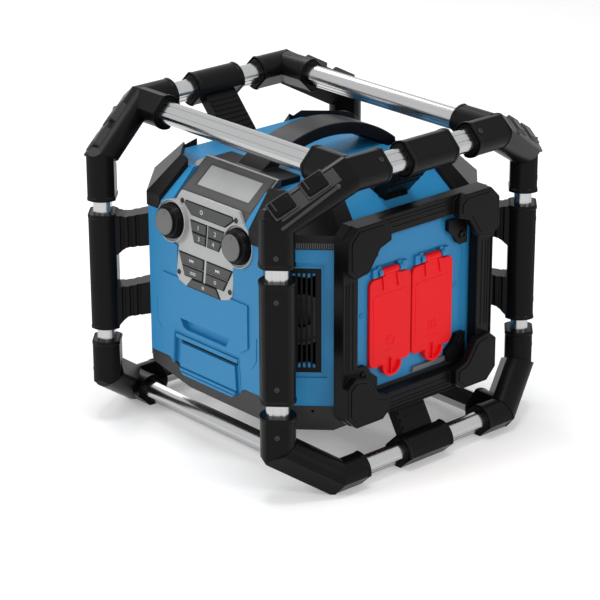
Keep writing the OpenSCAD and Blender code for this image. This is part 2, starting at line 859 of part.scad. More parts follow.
// One housing for everything, open at the top and the bottom
module housing() {
    color(blue)
        difference() {
            union() {
                translate([0, 0, body_low])
                    linear_extrude(body_h)
                        plan(body_w, body_d, body_chamfer);
                on_front()
                    translate([0, 0, -front_t])
                        linear_extrude(front_t)
                            twin(apron, 0, body_low);
                on_front()
                    translate([0, 0, -past])
                        linear_extrude(front_rise + past)
                            twin(front_panel, 0, body_low);
                for (c = corners)
                    on_chamfer(c[1], c[2])
                        skirt(0);
            }
            // The hollow, with a thicker wall at the front
            translate([0, 0, body_low - base_h])
                linear_extrude(body_h + base_h + past)
                    intersection() {
                        plan(inner_w, inner_d, inner_chamfer);
                        difference() {
                            square([2 * body_w, 2 * body_d], center = true);
                            translate([-front_half, -half_d])
                                square([2 * front_half, front_t]);
                        }
                    }
            panel_pocket();
            on_front()
                translate([0, 0, -grip_deep])
                    linear_extrude(grip_deep + front_rise + past)
                        twin(grip_slot, 0, body_low);
            // The label plate stands in a well
            on_front()
                difference() {
                    translate([0, 0, -label_deep])
                        linear_extrude(label_deep + past)
                            twin(label_well, 0, body_low);
                    translate([0, 0, -label_deep - past])
                        linear_extrude(label_deep - label_sink)
                            twin(label_plate, 0, body_low);
                }
            // Windows for the corner grilles, with a stepped frame round each
            for (c = corners)
                on_chamfer(c[1], c[2]) {
                    translate([-grille_w / 2, grille_foot, -2 * body_wall])
                        cube([grille_w, grille_h, 4 * body_wall]);
                    translate([-grille_w / 2 - frame_w, grille_foot - frame_w, -frame_step])
                        cube([grille_w + 2 * frame_w, grille_h + 2 * frame_w, 2 * frame_step]);
                }
            // Socket panel on the right
            translate([half_w - wall_cut, -panel_half - seat_gap, panel_low - seat_gap])
                cube([2 * wall_cut, 2 * (panel_half + seat_gap), panel_high - panel_low + 2 * seat_gap]);
            // Battery door on the left
            translate([-half_w - wall_cut, -door_w / 2 - door_gap, door_pin_z - door_boss_r - door_gap])
                cube([2 * wall_cut, door_w + 2 * door_gap, door_h + door_boss_r + 2 * door_gap]);
            // Device bay at the rear
            translate([-bay_w / 2 - door_gap, half_d - wall_cut, bay_pin_z - door_boss_r - door_gap])
                cube([bay_w + 2 * door_gap, 2 * wall_cut, bay_h + door_boss_r + 2 * door_gap]);
        }
}

// Top cover: four slopes, a flat top and a notch for each rail bracket
module cover_solid(inset) {
    hull() {
        translate([0, 0, body_top - (inset > 0 ? past : 0)])
            linear_extrude(skin)
                plan(body_w - 2 * inset, body_d - 2 * inset, body_chamfer - inset * (2 - sqrt(2)));
        translate([0, 0, top_face - skin - inset])
            linear_extrude(skin)
                plan(body_w - 2 * slope_h - 2 * inset, body_d - 2 * slope_h - 2 * inset,
                    body_chamfer - slope_h * (2 - sqrt(2)));
    }
}

module hood_zone(grow) {
    translate([-hood_half - grow, -half_d - past, body_top - past])
        cube([2 * (hood_half + grow), half_d + past + hood_back + grow, slope_h + 2 * past]);
}

// Notch in the rear slope for the handle's rear foot
module handle_notch() {
    translate([-foot_notch, foot_front, top_face - foot_drop])
        cube([2 * foot_notch, half_d, foot_drop + past]);
}

module top_cover() {
    color(blue)
        difference() {
            cover_solid(0);
            difference() {
                cover_solid(body_wall);
                for (side = [-1, 1])
                    at_corner(side, 1)
                        translate([half_w - 2 * slope_h, -notch_high - body_wall, body_top])
                            cube([3 * slope_h, 2 * (notch_high + body_wall), slope_h]);
                translate([-foot_notch - body_wall, foot_front - body_wall, body_top])
                    cube([2 * (foot_notch + body_wall), half_d, slope_h]);
            }
            hood_zone(seat_gap);
            panel_pocket();
            handle_notch();
            for (side = [-1, 1])
                on_slope(side)
                    translate([0, 0, -notch_deep - seat_gap])
                        linear_extrude(notch_deep + slope_h)
                            notch_outline(0);
            for (c = corners)
                at_corner(c[1], c[2])
                    cap_skirt(0);
        }
}

// Where a corner cap sits, seen from above
module cap_plan() {
    side = [for (p = cap_side) [half_w - p[0], half_d - p[1]]];
    front = [for (p = cap_front) [half_w - p[0], half_d - p[1]]];
    outer = [[half_w + cap_proud, half_d - body_chamfer + cap_proud / 2],
        [half_w - body_chamfer + cap_proud / 2, half_d + cap_proud]];
    polygon(concat(side, outer, front));
}

module cap_skirt(grow) {
    intersection() {
        translate([0, 0, body_top - cap_rim_h])
            linear_extrude(cap_rim_h)
                cap_plan();
        difference() {
            translate([0, 0, body_top - 2 * cap_rim_h])
                linear_extrude(3 * cap_rim_h)
                    plan(body_w + body_chamfer, body_d + body_chamfer, body_chamfer);
            translate([0, 0, body_top - 3 * cap_rim_h])
                linear_extrude(5 * cap_rim_h)
                    plan(body_w + 2 * grow, body_d + 2 * grow, body_chamfer);
        }
    }
}

// Textured rubber cap over a corner of the top cover, with its slopes parallel to the cover's
module cap(sx, sy) {
    rise = cap_top - body_top - cap_wall_rise;
    color(rubber)
        at_corner(sx, sy)
            difference() {
                intersection() {
                    translate([0, 0, body_top - cap_rim_h])
                        linear_extrude(cap_top - body_top + cap_rim_h)
                            cap_plan();
                    hull() {
                        translate([0, 0, body_top - cap_rim_h - skin])
                            linear_extrude(cap_wall_rise + cap_rim_h + skin)
                                plan(body_w + 2 * cap_proud, body_d + 2 * cap_proud,
                                    body_chamfer + cap_proud / 2);
                        translate([0, 0, cap_top - skin])
                            linear_extrude(skin)
                                plan(body_w + 2 * (cap_proud - rise), body_d + 2 * (cap_proud - rise),
                                    body_chamfer - rise * (2 - sqrt(2)));
                    }
                }
                cover_solid(-seat_gap / 2);
                translate([0, 0, body_top - 2 * cap_rim_h])
                    linear_extrude(2 * cap_rim_h + seat_gap)
                        plan(body_w + seat_gap, body_d + seat_gap, body_chamfer);
                at_corner(sx, sy)
                    panel_pocket();
            }
}

// Speaker grille: a frame with upright bars
module grille(sx, sy) {
    bars = floor((grille_w - 2 * grille_edge) / bar_pitch);
    slot_w = bar_pitch - bar_t;
    color(rubber)
        on_chamfer(sx, sy)
            difference() {
                translate([-grille_w / 2 + seat_gap, grille_foot + seat_gap, -body_wall])
                    cube([grille_w - 2 * seat_gap, grille_h - 2 * seat_gap, grille_t]);
                for (step = [0:bars])
                    translate([(step - bars / 2) * bar_pitch - slot_w / 2,
                        grille_foot + grille_edge, -body_wall - past])
                        cube([slot_w, grille_h - 2 * grille_edge, grille_t + 2 * past]);
            }
}

// A driver with its face up: flange, basket, magnet and a dished cone
module driver(d, deep) {
    difference() {
        union() {
            cylinder(d = d + 2 * flange_w, h = flange_t);
            translate([0, 0, -deep * basket_share[1]])
                cylinder(d = d * basket_share[0], h = deep * basket_share[1]);
            translate([0, 0, -deep])
                cylinder(d = d * magnet_share[0], h = deep * magnet_share[1]);
        }
        translate([0, 0, cone_floor])
            cylinder(d = d, h = flange_t);
        translate([0, 0, -deep * cone_share[1]])
            cylinder(d = d * cone_share[0], h = deep);
    }
}

module corner_speakers() {
    color(graphite)
        for (c = corners)
            on_chamfer(c[1], c[2])
                translate([0, grille_z, -body_wall - flange_t])
                    driver(cone_d, speaker_deep);
}

module subwoofer() {
    color(graphite)
        translate([sub_x, 0, base_low + body_wall + flange_t])
            rotate([180, 0, 0])
                driver(sub_d, sub_deep);
}

// Height of the bezel's slope at y
function bezel_z(y) = lip_z + (y - lip_y) * tan(bezel_lean);

// Display hood: a sloped bezel that carries the window
module display_hood() {
    low = body_top + seat_gap;
    inner_front = hood_front + hood_inset;
    inner_back = hood_back - hood_wall;
    color(graphite)
        difference() {
            translate([-hood_half, 0, 0])
                rotate([90, 0, 90])
                    linear_extrude(2 * hood_half)
                        polygon([[hood_front, low], [hood_back, low], [hood_back, hood_peak],
                            [hood_back - hood_flat, hood_peak], [lip_y, lip_z],
                            [hood_front, lip_z - hood_nose]]);
            translate([-hood_half + hood_wall, 0, 0])
                rotate([90, 0, 90])
                    linear_extrude(2 * (hood_half - hood_wall))
                        polygon([[inner_front, low - past], [inner_back, low - past],
                            [inner_back, bezel_z(inner_back) - hood_roof],
                            [inner_front, bezel_z(inner_front) - hood_roof]]);
            on_bezel()
                translate([-lcd_half_w - seat_gap, bezel_mid - lcd_len / 2 - seat_gap, -window_t])
                    cube([2 * (lcd_half_w + seat_gap), lcd_len + 2 * seat_gap, 2 * window_t]);
            panel_pocket();
        }
}

// Places its children on the bezel: y up the slope from its lower edge, z out of it
module on_bezel() {
    translate([0, lip_y, lip_z])
        rotate([bezel_lean, 0, 0])
            children();
}

module display_window() {
    color([0.55, 0.56, 0.56])
        on_bezel()
            translate([-lcd_half_w, bezel_mid - lcd_len / 2, -window_t])
                cube([2 * lcd_half_w, lcd_len, window_t]);
}

// Key outlines: [inner x, outer x at the top, outer x at the bottom, low y, high y]
preset_upper = [2, 29.5, 26, -4, 7];
preset_lower = [2, 25.5, 21, -16, -6];
media_upper = [3, 46, 40.5, -45, -34];
media_lower = [3, 39, 34, -58.5, -48];
side_keys = [[preset_upper, -1], [preset_upper, 1], [preset_lower, -1], [preset_lower, 1],
    [media_upper, -1], [media_upper, 1], [media_lower, -1], [media_lower, 1]];

module side_key_outline(k, side, grow) {
    mirror([side < 0 ? 1 : 0, 0])
        polygon(grown([[k[0], k[3]], [k[2], k[3]], [k[1], k[4]], [k[0], k[4]]], grow));
}

module control_panel() {
    color(silver)
        on_panel()
            difference() {
                union() {
                    translate([0, 0, -panel_t])
                        linear_extrude(panel_t)
                            panel_outline(0);
                    for (side = [-1, 1])
                        translate([side * knob_x, 0, 0])
                            cylinder(d = knob_collar_d, h = collar_h);
                }
                for (side = [-1, 1])
                    translate([side * knob_x, 0, -panel_t - past]) {
                        cylinder(d = knob_shaft_d + past, h = panel_t + collar_h + 2 * past);
                        translate([0, 0, panel_t + past + collar_h - collar_sink])
                            cylinder(d = knob_collar_d - 2 * collar_rim, h = collar_sink + past);
                    }
                translate([0, 0, -panel_t - past])
                    linear_extrude(panel_t + 2 * past) {
                        for (k = side_keys)
                            side_key_outline(k[0], k[1], key_gap);
                        twin(power_edge, key_gap);
                        twin(mode_edge, key_gap);
                    }
            }
}

// A key's cap with a stem behind it
module key(x, y) {
    color(graphite)
        on_panel() {
            translate([0, 0, key_rise - key_t])
                linear_extrude(key_t)
                    children();
            translate([x, y, -panel_t - stem_len])
                cylinder(d = key_stem_d, h = stem_len + panel_t + key_rise - key_t);
        }
}

module side_key(index) {
    k = side_keys[index][0];
    side = side_keys[index][1];
    key(side * (k[0] + k[2]) / 2, (k[3] + k[4]) / 2)
        side_key_outline(k, side, 0);
}

// A knob: tapered skirt, cap and shaft in one
module knob(side) {
    foot = collar_h - collar_sink + knob_lift;
    color(rubber)
        on_panel()
            translate([side * knob_x, 0, 0]) {
                translate([0, 0, foot])
                    cylinder(d1 = knob_d, d2 = (knob_d + knob_cap_d) / 2, h = skirt_h);
                translate([0, 0, foot])
                    cylinder(d = knob_cap_d, h = knob_h - foot);
                translate([0, 0, -panel_t - shaft_len])
                    cylinder(d = knob_shaft_d, h = panel_t + shaft_len + collar_h);
            }
}

// The knobs' rotary encoders, fixed to the back of the control panel
module encoders() {
    color(metal)
        for (side = [-1, 1])
            on_panel()
                translate([side * knob_x, 0, -panel_t - encoder_len])
                    difference() {
                        cylinder(d = encoder_d, h = encoder_len);
                        translate([0, 0, encoder_floor])
                            cylinder(d = knob_shaft_d + 2 * pivot_play, h = encoder_len);
                    }
}

// A hinge ear beside a flap's tab, rounded about the pin
module hinge_ear(y) {
    translate([half_w - ear_back, y - ear_w / 2, flap_pin_z - pin_boss_r])
        cube([flap_pin_x - half_w + ear_back, ear_w, 2 * pin_boss_r + ear_top]);
    translate([flap_pin_x, y - ear_w / 2, flap_pin_z])
        rotate([-90, 0, 0])
            cylinder(r = pin_boss_r, h = ear_w);
}

// Socket panel: two socket wells with hinge ears above them
module socket_panel() {
    color(blue)
        difference() {
            union() {
                translate([half_w - body_wall, -panel_half, panel_low])
                    cube([body_wall, 2 * panel_half, panel_high - panel_low]);
                for (side = [-1, 1])
                    translate([half_w - socket_depth - socket_wall, side * flap_mid, socket_z])
                        rotate([0, 90, 0])
                            cylinder(d = socket_d + 2 * socket_wall, h = socket_depth);
                for (side = [-1, 1], end = [-1, 1])
                    hinge_ear(side * flap_mid + end * (tab_w / 2 + ear_w / 2 + ear_gap));
            }
            // Trough behind the hinges
            for (side = [-1, 1])
                translate([half_w - ear_back, side * flap_mid - tab_w / 2 - ear_gap,
                    flap_pin_z - pin_boss_r - trough_over])
                    cube([2 * pin_boss_r, tab_w + 2 * ear_gap, 2 * pin_boss_r + ear_top + trough_over]);
            for (side = [-1, 1])
                translate([half_w - socket_depth, side * flap_mid, socket_z])
                    rotate([0, 90, 0])
                        cylinder(d = socket_d, h = socket_depth + past);
            for (side = [-1, 1], pole = [-1, 1])
                translate([half_w - socket_depth - socket_wall - past, side * flap_mid + pole * pole_gap / 2,
                    socket_z])
                    rotate([0, 90, 0])
                        cylinder(d = pole_d, h = socket_depth);
            translate([flap_pin_x, -panel_half, flap_pin_z])
                rotate([-90, 0, 0])
                    cylinder(d = flap_pin_d + 2 * pivot_play, h = 2 * panel_half);
        }
}

// Bumper: a square frame with chamfered pads on its corners
module bumper() {
    deep = bumper_face - bumper_back;
    high = bumper_top - bumper_foot;
    color(rubber) {
        difference() {
            translate([bumper_back, -bumper_half, bumper_foot])
                cube([deep, 2 * bumper_half, high]);
            translate([bumper_back - past, -bumper_half + bumper_bar, bumper_foot + bumper_bar])
                cube([deep + 2 * past, 2 * (bumper_half - bumper_bar), high - 2 * bumper_bar]);
            for (side = [-1, 1], level = [bumper_foot, bumper_top])
                translate([bumper_back - past, side * bumper_half, level])
                    rotate([45, 0, 0])
                        translate([0, -bumper_bevel / 2, -bumper_bevel / 2])
                            cube([deep + 2 * past, bumper_bevel, bumper_bevel]);
        }
        for (side = [-1, 1], end = [0, 1])
            translate([bumper_face, 0, end > 0 ? bumper_top + bumper_foot : 0])
                mirror([0, 0, end])
                    mirror([0, side < 0 ? 1 : 0, 0])
                        rotate([90, 0, 90])
                            linear_extrude(bumper_pad_out)
                                polygon([for (p = pad_edge) [bumper_half - p[0], bumper_foot + p[1]]]);
        for (side = [-1, 1], z = bumper_studs)
            translate([half_w, side * (bumper_half - bumper_bar * 3 / 4), z])
                rotate([0, 90, 0])
                    cylinder(d = bumper_stud_d, h = bumper_back - half_w);
    }
}

// A spring-loaded flap over one socket, with its finger lip
module flap(side) {
    color(red)
        translate([0, side * flap_mid, 0])
            difference() {
                union() {
                    translate([flap_pin_x - flap_t / 2, -flap_w / 2, flap_z])
                        cube([flap_t, flap_w, flap_h]);
                    translate([flap_pin_x - flap_t / 2, -tab_w / 2, flap_z + flap_h - past])
                        cube([flap_t, tab_w, flap_pin_z - flap_z - flap_h + past]);
                    translate([flap_pin_x, -tab_w / 2, flap_pin_z])
                        rotate([-90, 0, 0])
                            cylinder(r = pin_boss_r, h = tab_w);
                    intersection() {
                        translate([flap_pin_x - flap_t / 2, 0, flap_z])
                            rotate([0, 90, 0])
                                cylinder(r = lip_r, h = flap_t + lip_rise);
                        translate([flap_pin_x - flap_t / 2, -lip_r, flap_z - 2 * lip_r])
                            cube([flap_t + lip_rise, 2 * lip_r, 2 * lip_r]);
                    }
                }
                translate([flap_pin_x, -tab_w, flap_pin_z])
                    rotate([-90, 0, 0])
                        cylinder(d = flap_pin_d + 2 * pivot_play, h = 2 * tab_w);
            }
}

module flap_pins() {
    color(metal)
        for (side = [-1, 1])
            translate([flap_pin_x, side * flap_mid - tab_w / 2 - ear_gap - ear_w + 1, flap_pin_z])
                rotate([-90, 0, 0])
                    cylinder(d = flap_pin_d, h = tab_w + 2 * (ear_gap + ear_w) - 2);
}

// Carrying handle: a wide arch from a deck behind the hood to a stepped foot at the rear
module handle() {
    foot_low = top_face - foot_drop;
    color(rubber) {
        intersection() {
            translate([-handle_w / 2, handle_y, handle_z])
                rotate([90, 0, 90])
                    linear_extrude(handle_w)
                        difference() {
                            circle(r = handle_r, $fn = 96);
                            circle(r = handle_r - handle_t, $fn = 96);
                        }
            translate([-handle_w, hood_back + seat_gap, top_face])
                cube([2 * handle_w, foot_rear - hood_back - seat_gap, handle_r]);
        }
        translate([-front_foot[0], hood_back + seat_gap, top_face])
            cube([2 * front_foot[0], front_foot[1], front_foot[2]]);
        translate([-handle_w / 2, foot_front + seat_gap, foot_low])
            cube([handle_w, foot_rear - foot_front - seat_gap, foot_drop + past]);
        translate([-handle_w / 2, foot_rear - past, foot_low])
            cube([handle_w, tongue_rear - foot_rear + past, foot_drop - tongue_drop]);
    }
}

// A door with a rolled edge along its lower side, lying flat: x along the pin, y up
module door(w, h) {
    difference() {
        union() {
            translate([-w / 2, 0, -door_t / 2])
                cube([w, h, door_t]);
            translate([-w / 2, 0, 0])
                rotate([0, 90, 0])
                    cylinder(r = door_boss_r, h = w);
        }
        translate([-w, 0, 0])
            rotate([0, 90, 0])
                cylinder(d = door_pin_d + 2 * pivot_play, h = 2 * w);
    }
}

module door_pin(w) {
    translate([-w / 2 - door_gap, 0, 0])
        rotate([0, 90, 0])
            cylinder(d = door_pin_d, h = w + 2 * door_gap);
}

// Places its children in the left wall's opening, with z out of the wall
module on_left() {
    translate([-half_w + body_wall / 2, 0, door_pin_z])
        rotate([90, 0, -90])
            children();
}

// Places its children in the rear wall's opening, with z out of the wall
module on_rear() {
    translate([0, half_d - body_wall / 2, bay_pin_z])
        rotate([90, 0, 180])
            children();
}

module battery_door() {
    color(rubber)
        on_left()
            door(door_w, door_h);
}

module bay_door() {
    color(rubber)
        on_rear()
            door(bay_w, bay_h);
}

// The pins run from edge to edge of each door's opening
module door_pins() {
    color(metal) {
        on_left()
            door_pin(door_w);
        on_rear()
            door_pin(bay_w);
    }
}

// An open tray behind a door, with its rim against the wall's inside
module tray(w, h, deep) {
    low = door_boss_r + door_gap;
    translate([0, 0, -body_wall / 2 - deep])
        difference() {
            translate([-w / 2 - door_gap - tray_wall, -low - tray_wall, 0])
                cube([w + 2 * (door_gap + tray_wall), h + low + door_gap + 2 * tray_wall, deep]);
            translate([-w / 2 - door_gap, -low, tray_wall])
                cube([w + 2 * door_gap, h + low + door_gap, deep]);
        }
}

module battery_tray() {
    color(graphite) {
        on_left()
            tray(door_w, door_h, tray_deep);
        on_rear()
            tray(bay_w, bay_h, bay_deep);
    }
}

// The key board behind the control panel, and the power board over the base
module circuit_boards() {
    low = key_window[1] + 1;
    high = key_window[2] - 1;
    half = key_window[0] - 1;
    back = -panel_t - stem_len - key_travel - board_gap;
    color(board_green) {
        on_panel() {
            translate([-half, low, back - board_t])
                cube([2 * half, high - low, board_t]);
            for (side = [-1, 1], y = [low + post_d / 2, (low + high) / 2, high - post_d])
                translate([side * (half - post_d), y, back])
                    cylinder(d = post_d - 1, h = -panel_t - back);
        }
        translate([power_board[0], power_board[1], base_low + body_wall + post_h])
            cube([power_board[2], power_board[3], board_t]);
        for (x = [post_d, power_board[2] - post_d], y = [post_d, power_board[3] - post_d])
            translate([power_board[0] + x, power_board[1] + y, base_low + body_wall])
                cylinder(d = post_d, h = post_h);
    }
}

// Screws: four in the control panel, the rest in the rubber round the rails
module screws() {
    rail_screw = top_node - [0, top_collar_y - collar_screw, 0];
    color(metal) {
        on_panel()
            for (side = [-1, 1], place = panel_screws)
                translate([side * place[0], place[1], 0])
                    cylinder(d = screw_head_d, h = screw_head_h);
        for (c = corners)
            at_corner(c[1], c[2]) {
                for (z = [knee_z + low_collar_z / 2, sleeve_z - sleeve_screw,
                    sleeve_z + sleeve_screw, shoulder_z - top_collar_z + post_screw])
                    along([post_gap_x / 2, post_gap_y / 2, z],
                        [post_gap_x / 2, post_gap_y / 2, z] + [1, 1, 0], [0, 0, 1])
                        translate([0, 0, sleeve_t / 2])
                            cylinder(d = screw_head_d, h = screw_head_h);
                along(rail_screw, rail_screw + [1, 0, 1], [0, 1, 0])
                    translate([0, 0, sleeve_t / 2])
                        cylinder(d = screw_head_d, h = screw_head_h);
            }
    }
}

rails_across();
rails_along();
posts();
corner_top(-1, -1);  // corner_top_front_left
corner_top(1, -1);  // corner_top_front_right
corner_top(1, 1);  // corner_top_rear_right
corner_top(-1, 1);  // corner_top_rear_left
corner_low(-1, -1);  // corner_low_front_left
corner_low(1, -1);  // corner_low_front_right
corner_low(1, 1);  // corner_low_rear_right
corner_low(-1, 1);  // corner_low_rear_left
post_sleeve(-1, -1);  // post_sleeve_front_left
post_sleeve(1, -1);  // post_sleeve_front_right
post_sleeve(1, 1);  // post_sleeve_rear_right
post_sleeve(-1, 1);  // post_sleeve_rear_left
bracket_top(-1);  // bracket_top_left
bracket_top(1);  // bracket_top_right
bracket_low(-1);  // bracket_low_left
bracket_low(1);  // bracket_low_right
housing();
top_cover();
base();
cap(-1, -1);  // cap_front_left
cap(1, -1);  // cap_front_right
cap(1, 1);  // cap_rear_right
cap(-1, 1);  // cap_rear_left
grille(-1, -1);  // grille_front_left
grille(1, -1);  // grille_front_right
grille(1, 1);  // grille_rear_right
grille(-1, 1);  // grille_rear_left
corner_speakers();
subwoofer();
display_hood();
display_window();
control_panel();
key(0, power_y) twin(power_edge);  // power_key
side_key(0);  // preset_key_1
side_key(1);  // preset_key_2
side_key(2);  // preset_key_3
side_key(3);  // preset_key_4
side_key(4);  // media_key_1
side_key(5);  // media_key_2
side_key(6);  // media_key_3
side_key(7);  // media_key_4
key(0, mode_y) twin(mode_edge);  // mode_key
knob(-1);  // knob_left
knob(1);  // knob_right
encoders();
socket_panel();
bumper();
flap(-1);  // flap_front
flap(1);  // flap_rear
flap_pins();
handle();
battery_door();
bay_door();
door_pins();
battery_tray();
circuit_boards();
screws();
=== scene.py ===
"""Looks of the jobsite radio: every visible CAD node gets a material, most get rounded edges and many get
moulded detail.
"""
import json
import math

import bmesh
import bpy
from mathutils import Matrix, Vector


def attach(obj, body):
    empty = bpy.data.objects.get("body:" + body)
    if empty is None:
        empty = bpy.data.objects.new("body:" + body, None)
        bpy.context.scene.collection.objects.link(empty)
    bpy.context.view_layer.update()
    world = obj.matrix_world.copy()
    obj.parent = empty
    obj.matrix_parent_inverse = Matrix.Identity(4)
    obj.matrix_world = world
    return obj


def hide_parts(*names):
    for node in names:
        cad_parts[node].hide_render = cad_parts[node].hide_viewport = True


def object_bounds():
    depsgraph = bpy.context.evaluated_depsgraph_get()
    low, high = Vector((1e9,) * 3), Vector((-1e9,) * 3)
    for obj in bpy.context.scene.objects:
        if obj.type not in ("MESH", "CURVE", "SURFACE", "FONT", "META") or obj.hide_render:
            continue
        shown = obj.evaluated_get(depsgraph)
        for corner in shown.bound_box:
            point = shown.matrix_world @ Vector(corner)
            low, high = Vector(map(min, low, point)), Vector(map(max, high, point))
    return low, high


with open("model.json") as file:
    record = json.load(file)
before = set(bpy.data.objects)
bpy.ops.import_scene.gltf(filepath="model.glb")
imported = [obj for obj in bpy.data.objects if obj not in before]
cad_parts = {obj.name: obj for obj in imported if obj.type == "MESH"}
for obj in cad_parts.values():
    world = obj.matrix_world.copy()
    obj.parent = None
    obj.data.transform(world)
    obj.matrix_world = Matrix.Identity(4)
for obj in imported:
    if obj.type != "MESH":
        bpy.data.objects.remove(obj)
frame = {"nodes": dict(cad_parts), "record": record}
cad_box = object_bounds()
scene = bpy.context.scene
MM = 0.001
UP = Vector((0, 0, 1))
AXES = (Vector((1, 0, 0)), Vector((0, 1, 0)), UP)
# In metres, as the scene is
BODY_MIDDLE = Vector((0, 0, 0.2))

# Driving sizes of the cage, in millimetres, as the CAD model has them
TOP_NODE = Vector((181.5, 114, 370))
SHOULDER = Vector((153, 191.5, 326.5))
KNEE = Vector((153, 191.5, 60))
LOW_NODE = Vector((181.5, 131, 18))
TOP_COLLAR = (55, 47, 49)
LOW_COLLAR = (36, 36, 43)
SLEEVE_W = 40
SLEEVE_T = 32
POST_SLEEVE = (119, 261)
BRACKET_HALF = 35
CORNERS = (("front_left", -1, -1), ("front_right", 1, -1), ("rear_right", 1, 1), ("rear_left", -1, 1))

# Driving sizes of the housing and of what is mounted on it, in millimetres
HALF_W = 160.5
HALF_D = 166
BODY_LOW = 98
BODY_TOP = 285.5
CHAMFER = 60
KNOB_X = 58.5
PANEL_RISE = 58
PANEL_FOOT = Vector((0, -HALF_D - 1, BODY_TOP - 76))
PANEL_LEAN = math.radians(5.9)
LIP = Vector((0, -148, 300.5))
HOOD_TOP = Vector((0, -108, 332.8))
FLAP_MID = 33
FLAP_HALF = 32
FLAP_FOOT = 123
FLAP_HEAD = 230
PIN_Z = 236
BUMPER_HALF = 117.5
BUMPER_FOOT = 70
BUMPER_TOP = 308
BUMPER_OUT = 16


# ---------------------------------------------------------------- materials

COAT_ROUGHNESS = 0.15
NOISE_SPREAD = (0.3, 0.7)
DRIFT_PER_MM = 0.02
MOULDED_GLOSS_DRIFT = 0.12
DRAWN_GLOSS_DRIFT = 0.1
DRAWN_PER_MM = 1.6
DRAWN_STRETCH = 0.01
DRAWN_DEPTH = 0.004


def material(name, color, roughness, metallic=0.0, specular=0.5, coat=0.0):
    """A Principled material with the values that are the same all over its surface."""
    m = bpy.data.materials.new(name)
    m.use_nodes = True
    shader = m.node_tree.nodes["Principled BSDF"]
    shader.inputs["Base Color"].default_value = (*color, 1)
    shader.inputs["Roughness"].default_value = roughness
    shader.inputs["Metallic"].default_value = metallic
    shader.inputs["Specular IOR Level"].default_value = specular
    shader.inputs["Coat Weight"].default_value = coat
    shader.inputs["Coat Roughness"].default_value = COAT_ROUGHNESS
    return m


def node(m, kind, **values):
    """A new shader node, with values given to its inputs or, where it has none so named, to itself."""
    n = m.node_tree.nodes.new("ShaderNode" + kind)
    for key, value in values.items():
        if key in n.inputs:
            n.inputs[key].default_value = value
        else:
            setattr(n, key, value)
    return n


def link(m, out, into):
    m.node_tree.links.new(out, into)


def noise(m, per_mm, octaves, stretch=(1, 1, 1)):
    """A noise over the object's own coordinates, with so many bumps per millimetre."""
    place = node(m, "TexCoord")
    mapping = node(m, "Mapping", Scale=stretch)
    texture = node(m, "TexNoise", Scale=per_mm / MM, Detail=octaves)
    link(m, place.outputs["Object"], mapping.inputs["Vector"])
    link(m, mapping.outputs["Vector"], texture.inputs["Vector"])
    return texture.outputs["Fac"]


def vary_color(m, color, amount, source):
    """Lets the colour drift a little lighter and darker."""
    ramp = node(m, "ValToRGB")
    for end, stop, sign in zip(ramp.color_ramp.elements, NOISE_SPREAD, (-1, 1)):
        end.position = stop
        end.color = (*[min(1, c * (1 + sign * amount)) for c in color], 1)
    link(m, source, ramp.inputs["Fac"])
    link(m, ramp.outputs["Color"], m.node_tree.nodes["Principled BSDF"].inputs["Base Color"])


def vary_roughness(m, roughness, amount, source):
    """Lets the gloss drift a little up and down."""
    spread = node(m, "MapRange")
    spread.inputs["From Min"].default_value = NOISE_SPREAD[0]
    spread.inputs["From Max"].default_value = NOISE_SPREAD[1]
    spread.inputs["To Min"].default_value = roughness * (1 - amount)
    spread.inputs["To Max"].default_value = roughness * (1 + amount)
    link(m, source, spread.inputs["Value"])
    link(m, spread.outputs["Result"], m.node_tree.nodes["Principled BSDF"].inputs["Roughness"])


def bump(m, source, height_mm):
    b = node(m, "Bump", Strength=1.0, Distance=height_mm * MM)
    link(m, source, b.inputs["Height"])
    link(m, b.outputs["Normal"], m.node_tree.nodes["Principled BSDF"].inputs["Normal"])


def moulded(name, color, roughness, grain=1.2, depth=0.02, specular=0.5, coat=0.0, drift=0.08):
    """Moulded plastic or rubber: a fine grain and a slow drift of colour and gloss."""
    m = material(name, color, roughness, specular=specular, coat=coat)
    slow = noise(m, DRIFT_PER_MM, 3.0)
    vary_color(m, color, drift, slow)
    vary_roughness(m, roughness, MOULDED_GLOSS_DRIFT, slow)
    bump(m, noise(m, grain, 2.0), depth)
    return m


def dotted(name, color, roughness, pitch_mm, depth, specular):
    """Black trim with a moulded pattern of small dots."""
    m = material(name, color, roughness, specular=specular)
    place = node(m, "TexCoord")
    cells = node(m, "TexVoronoi", Scale=1 / (pitch_mm * MM))
    link(m, place.outputs["Object"], cells.inputs["Vector"])
    vary_color(m, color, 0.3, cells.outputs["Distance"])
    bump(m, cells.outputs["Distance"], depth)
    return m


def drawn_metal(name, color, roughness, along):
    """Drawn or extruded metal: fine lines along one axis, numbered 0 to 2."""
    m = material(name, color, roughness, metallic=1.0)
    stretch = [1.0, 1.0, 1.0]
    stretch[along] = DRAWN_STRETCH
    lines = noise(m, DRAWN_PER_MM, 3.0, stretch)
    vary_color(m, color, 0.03, lines)
    vary_roughness(m, roughness, DRAWN_GLOSS_DRIFT, lines)
    bump(m, lines, DRAWN_DEPTH)
    return m


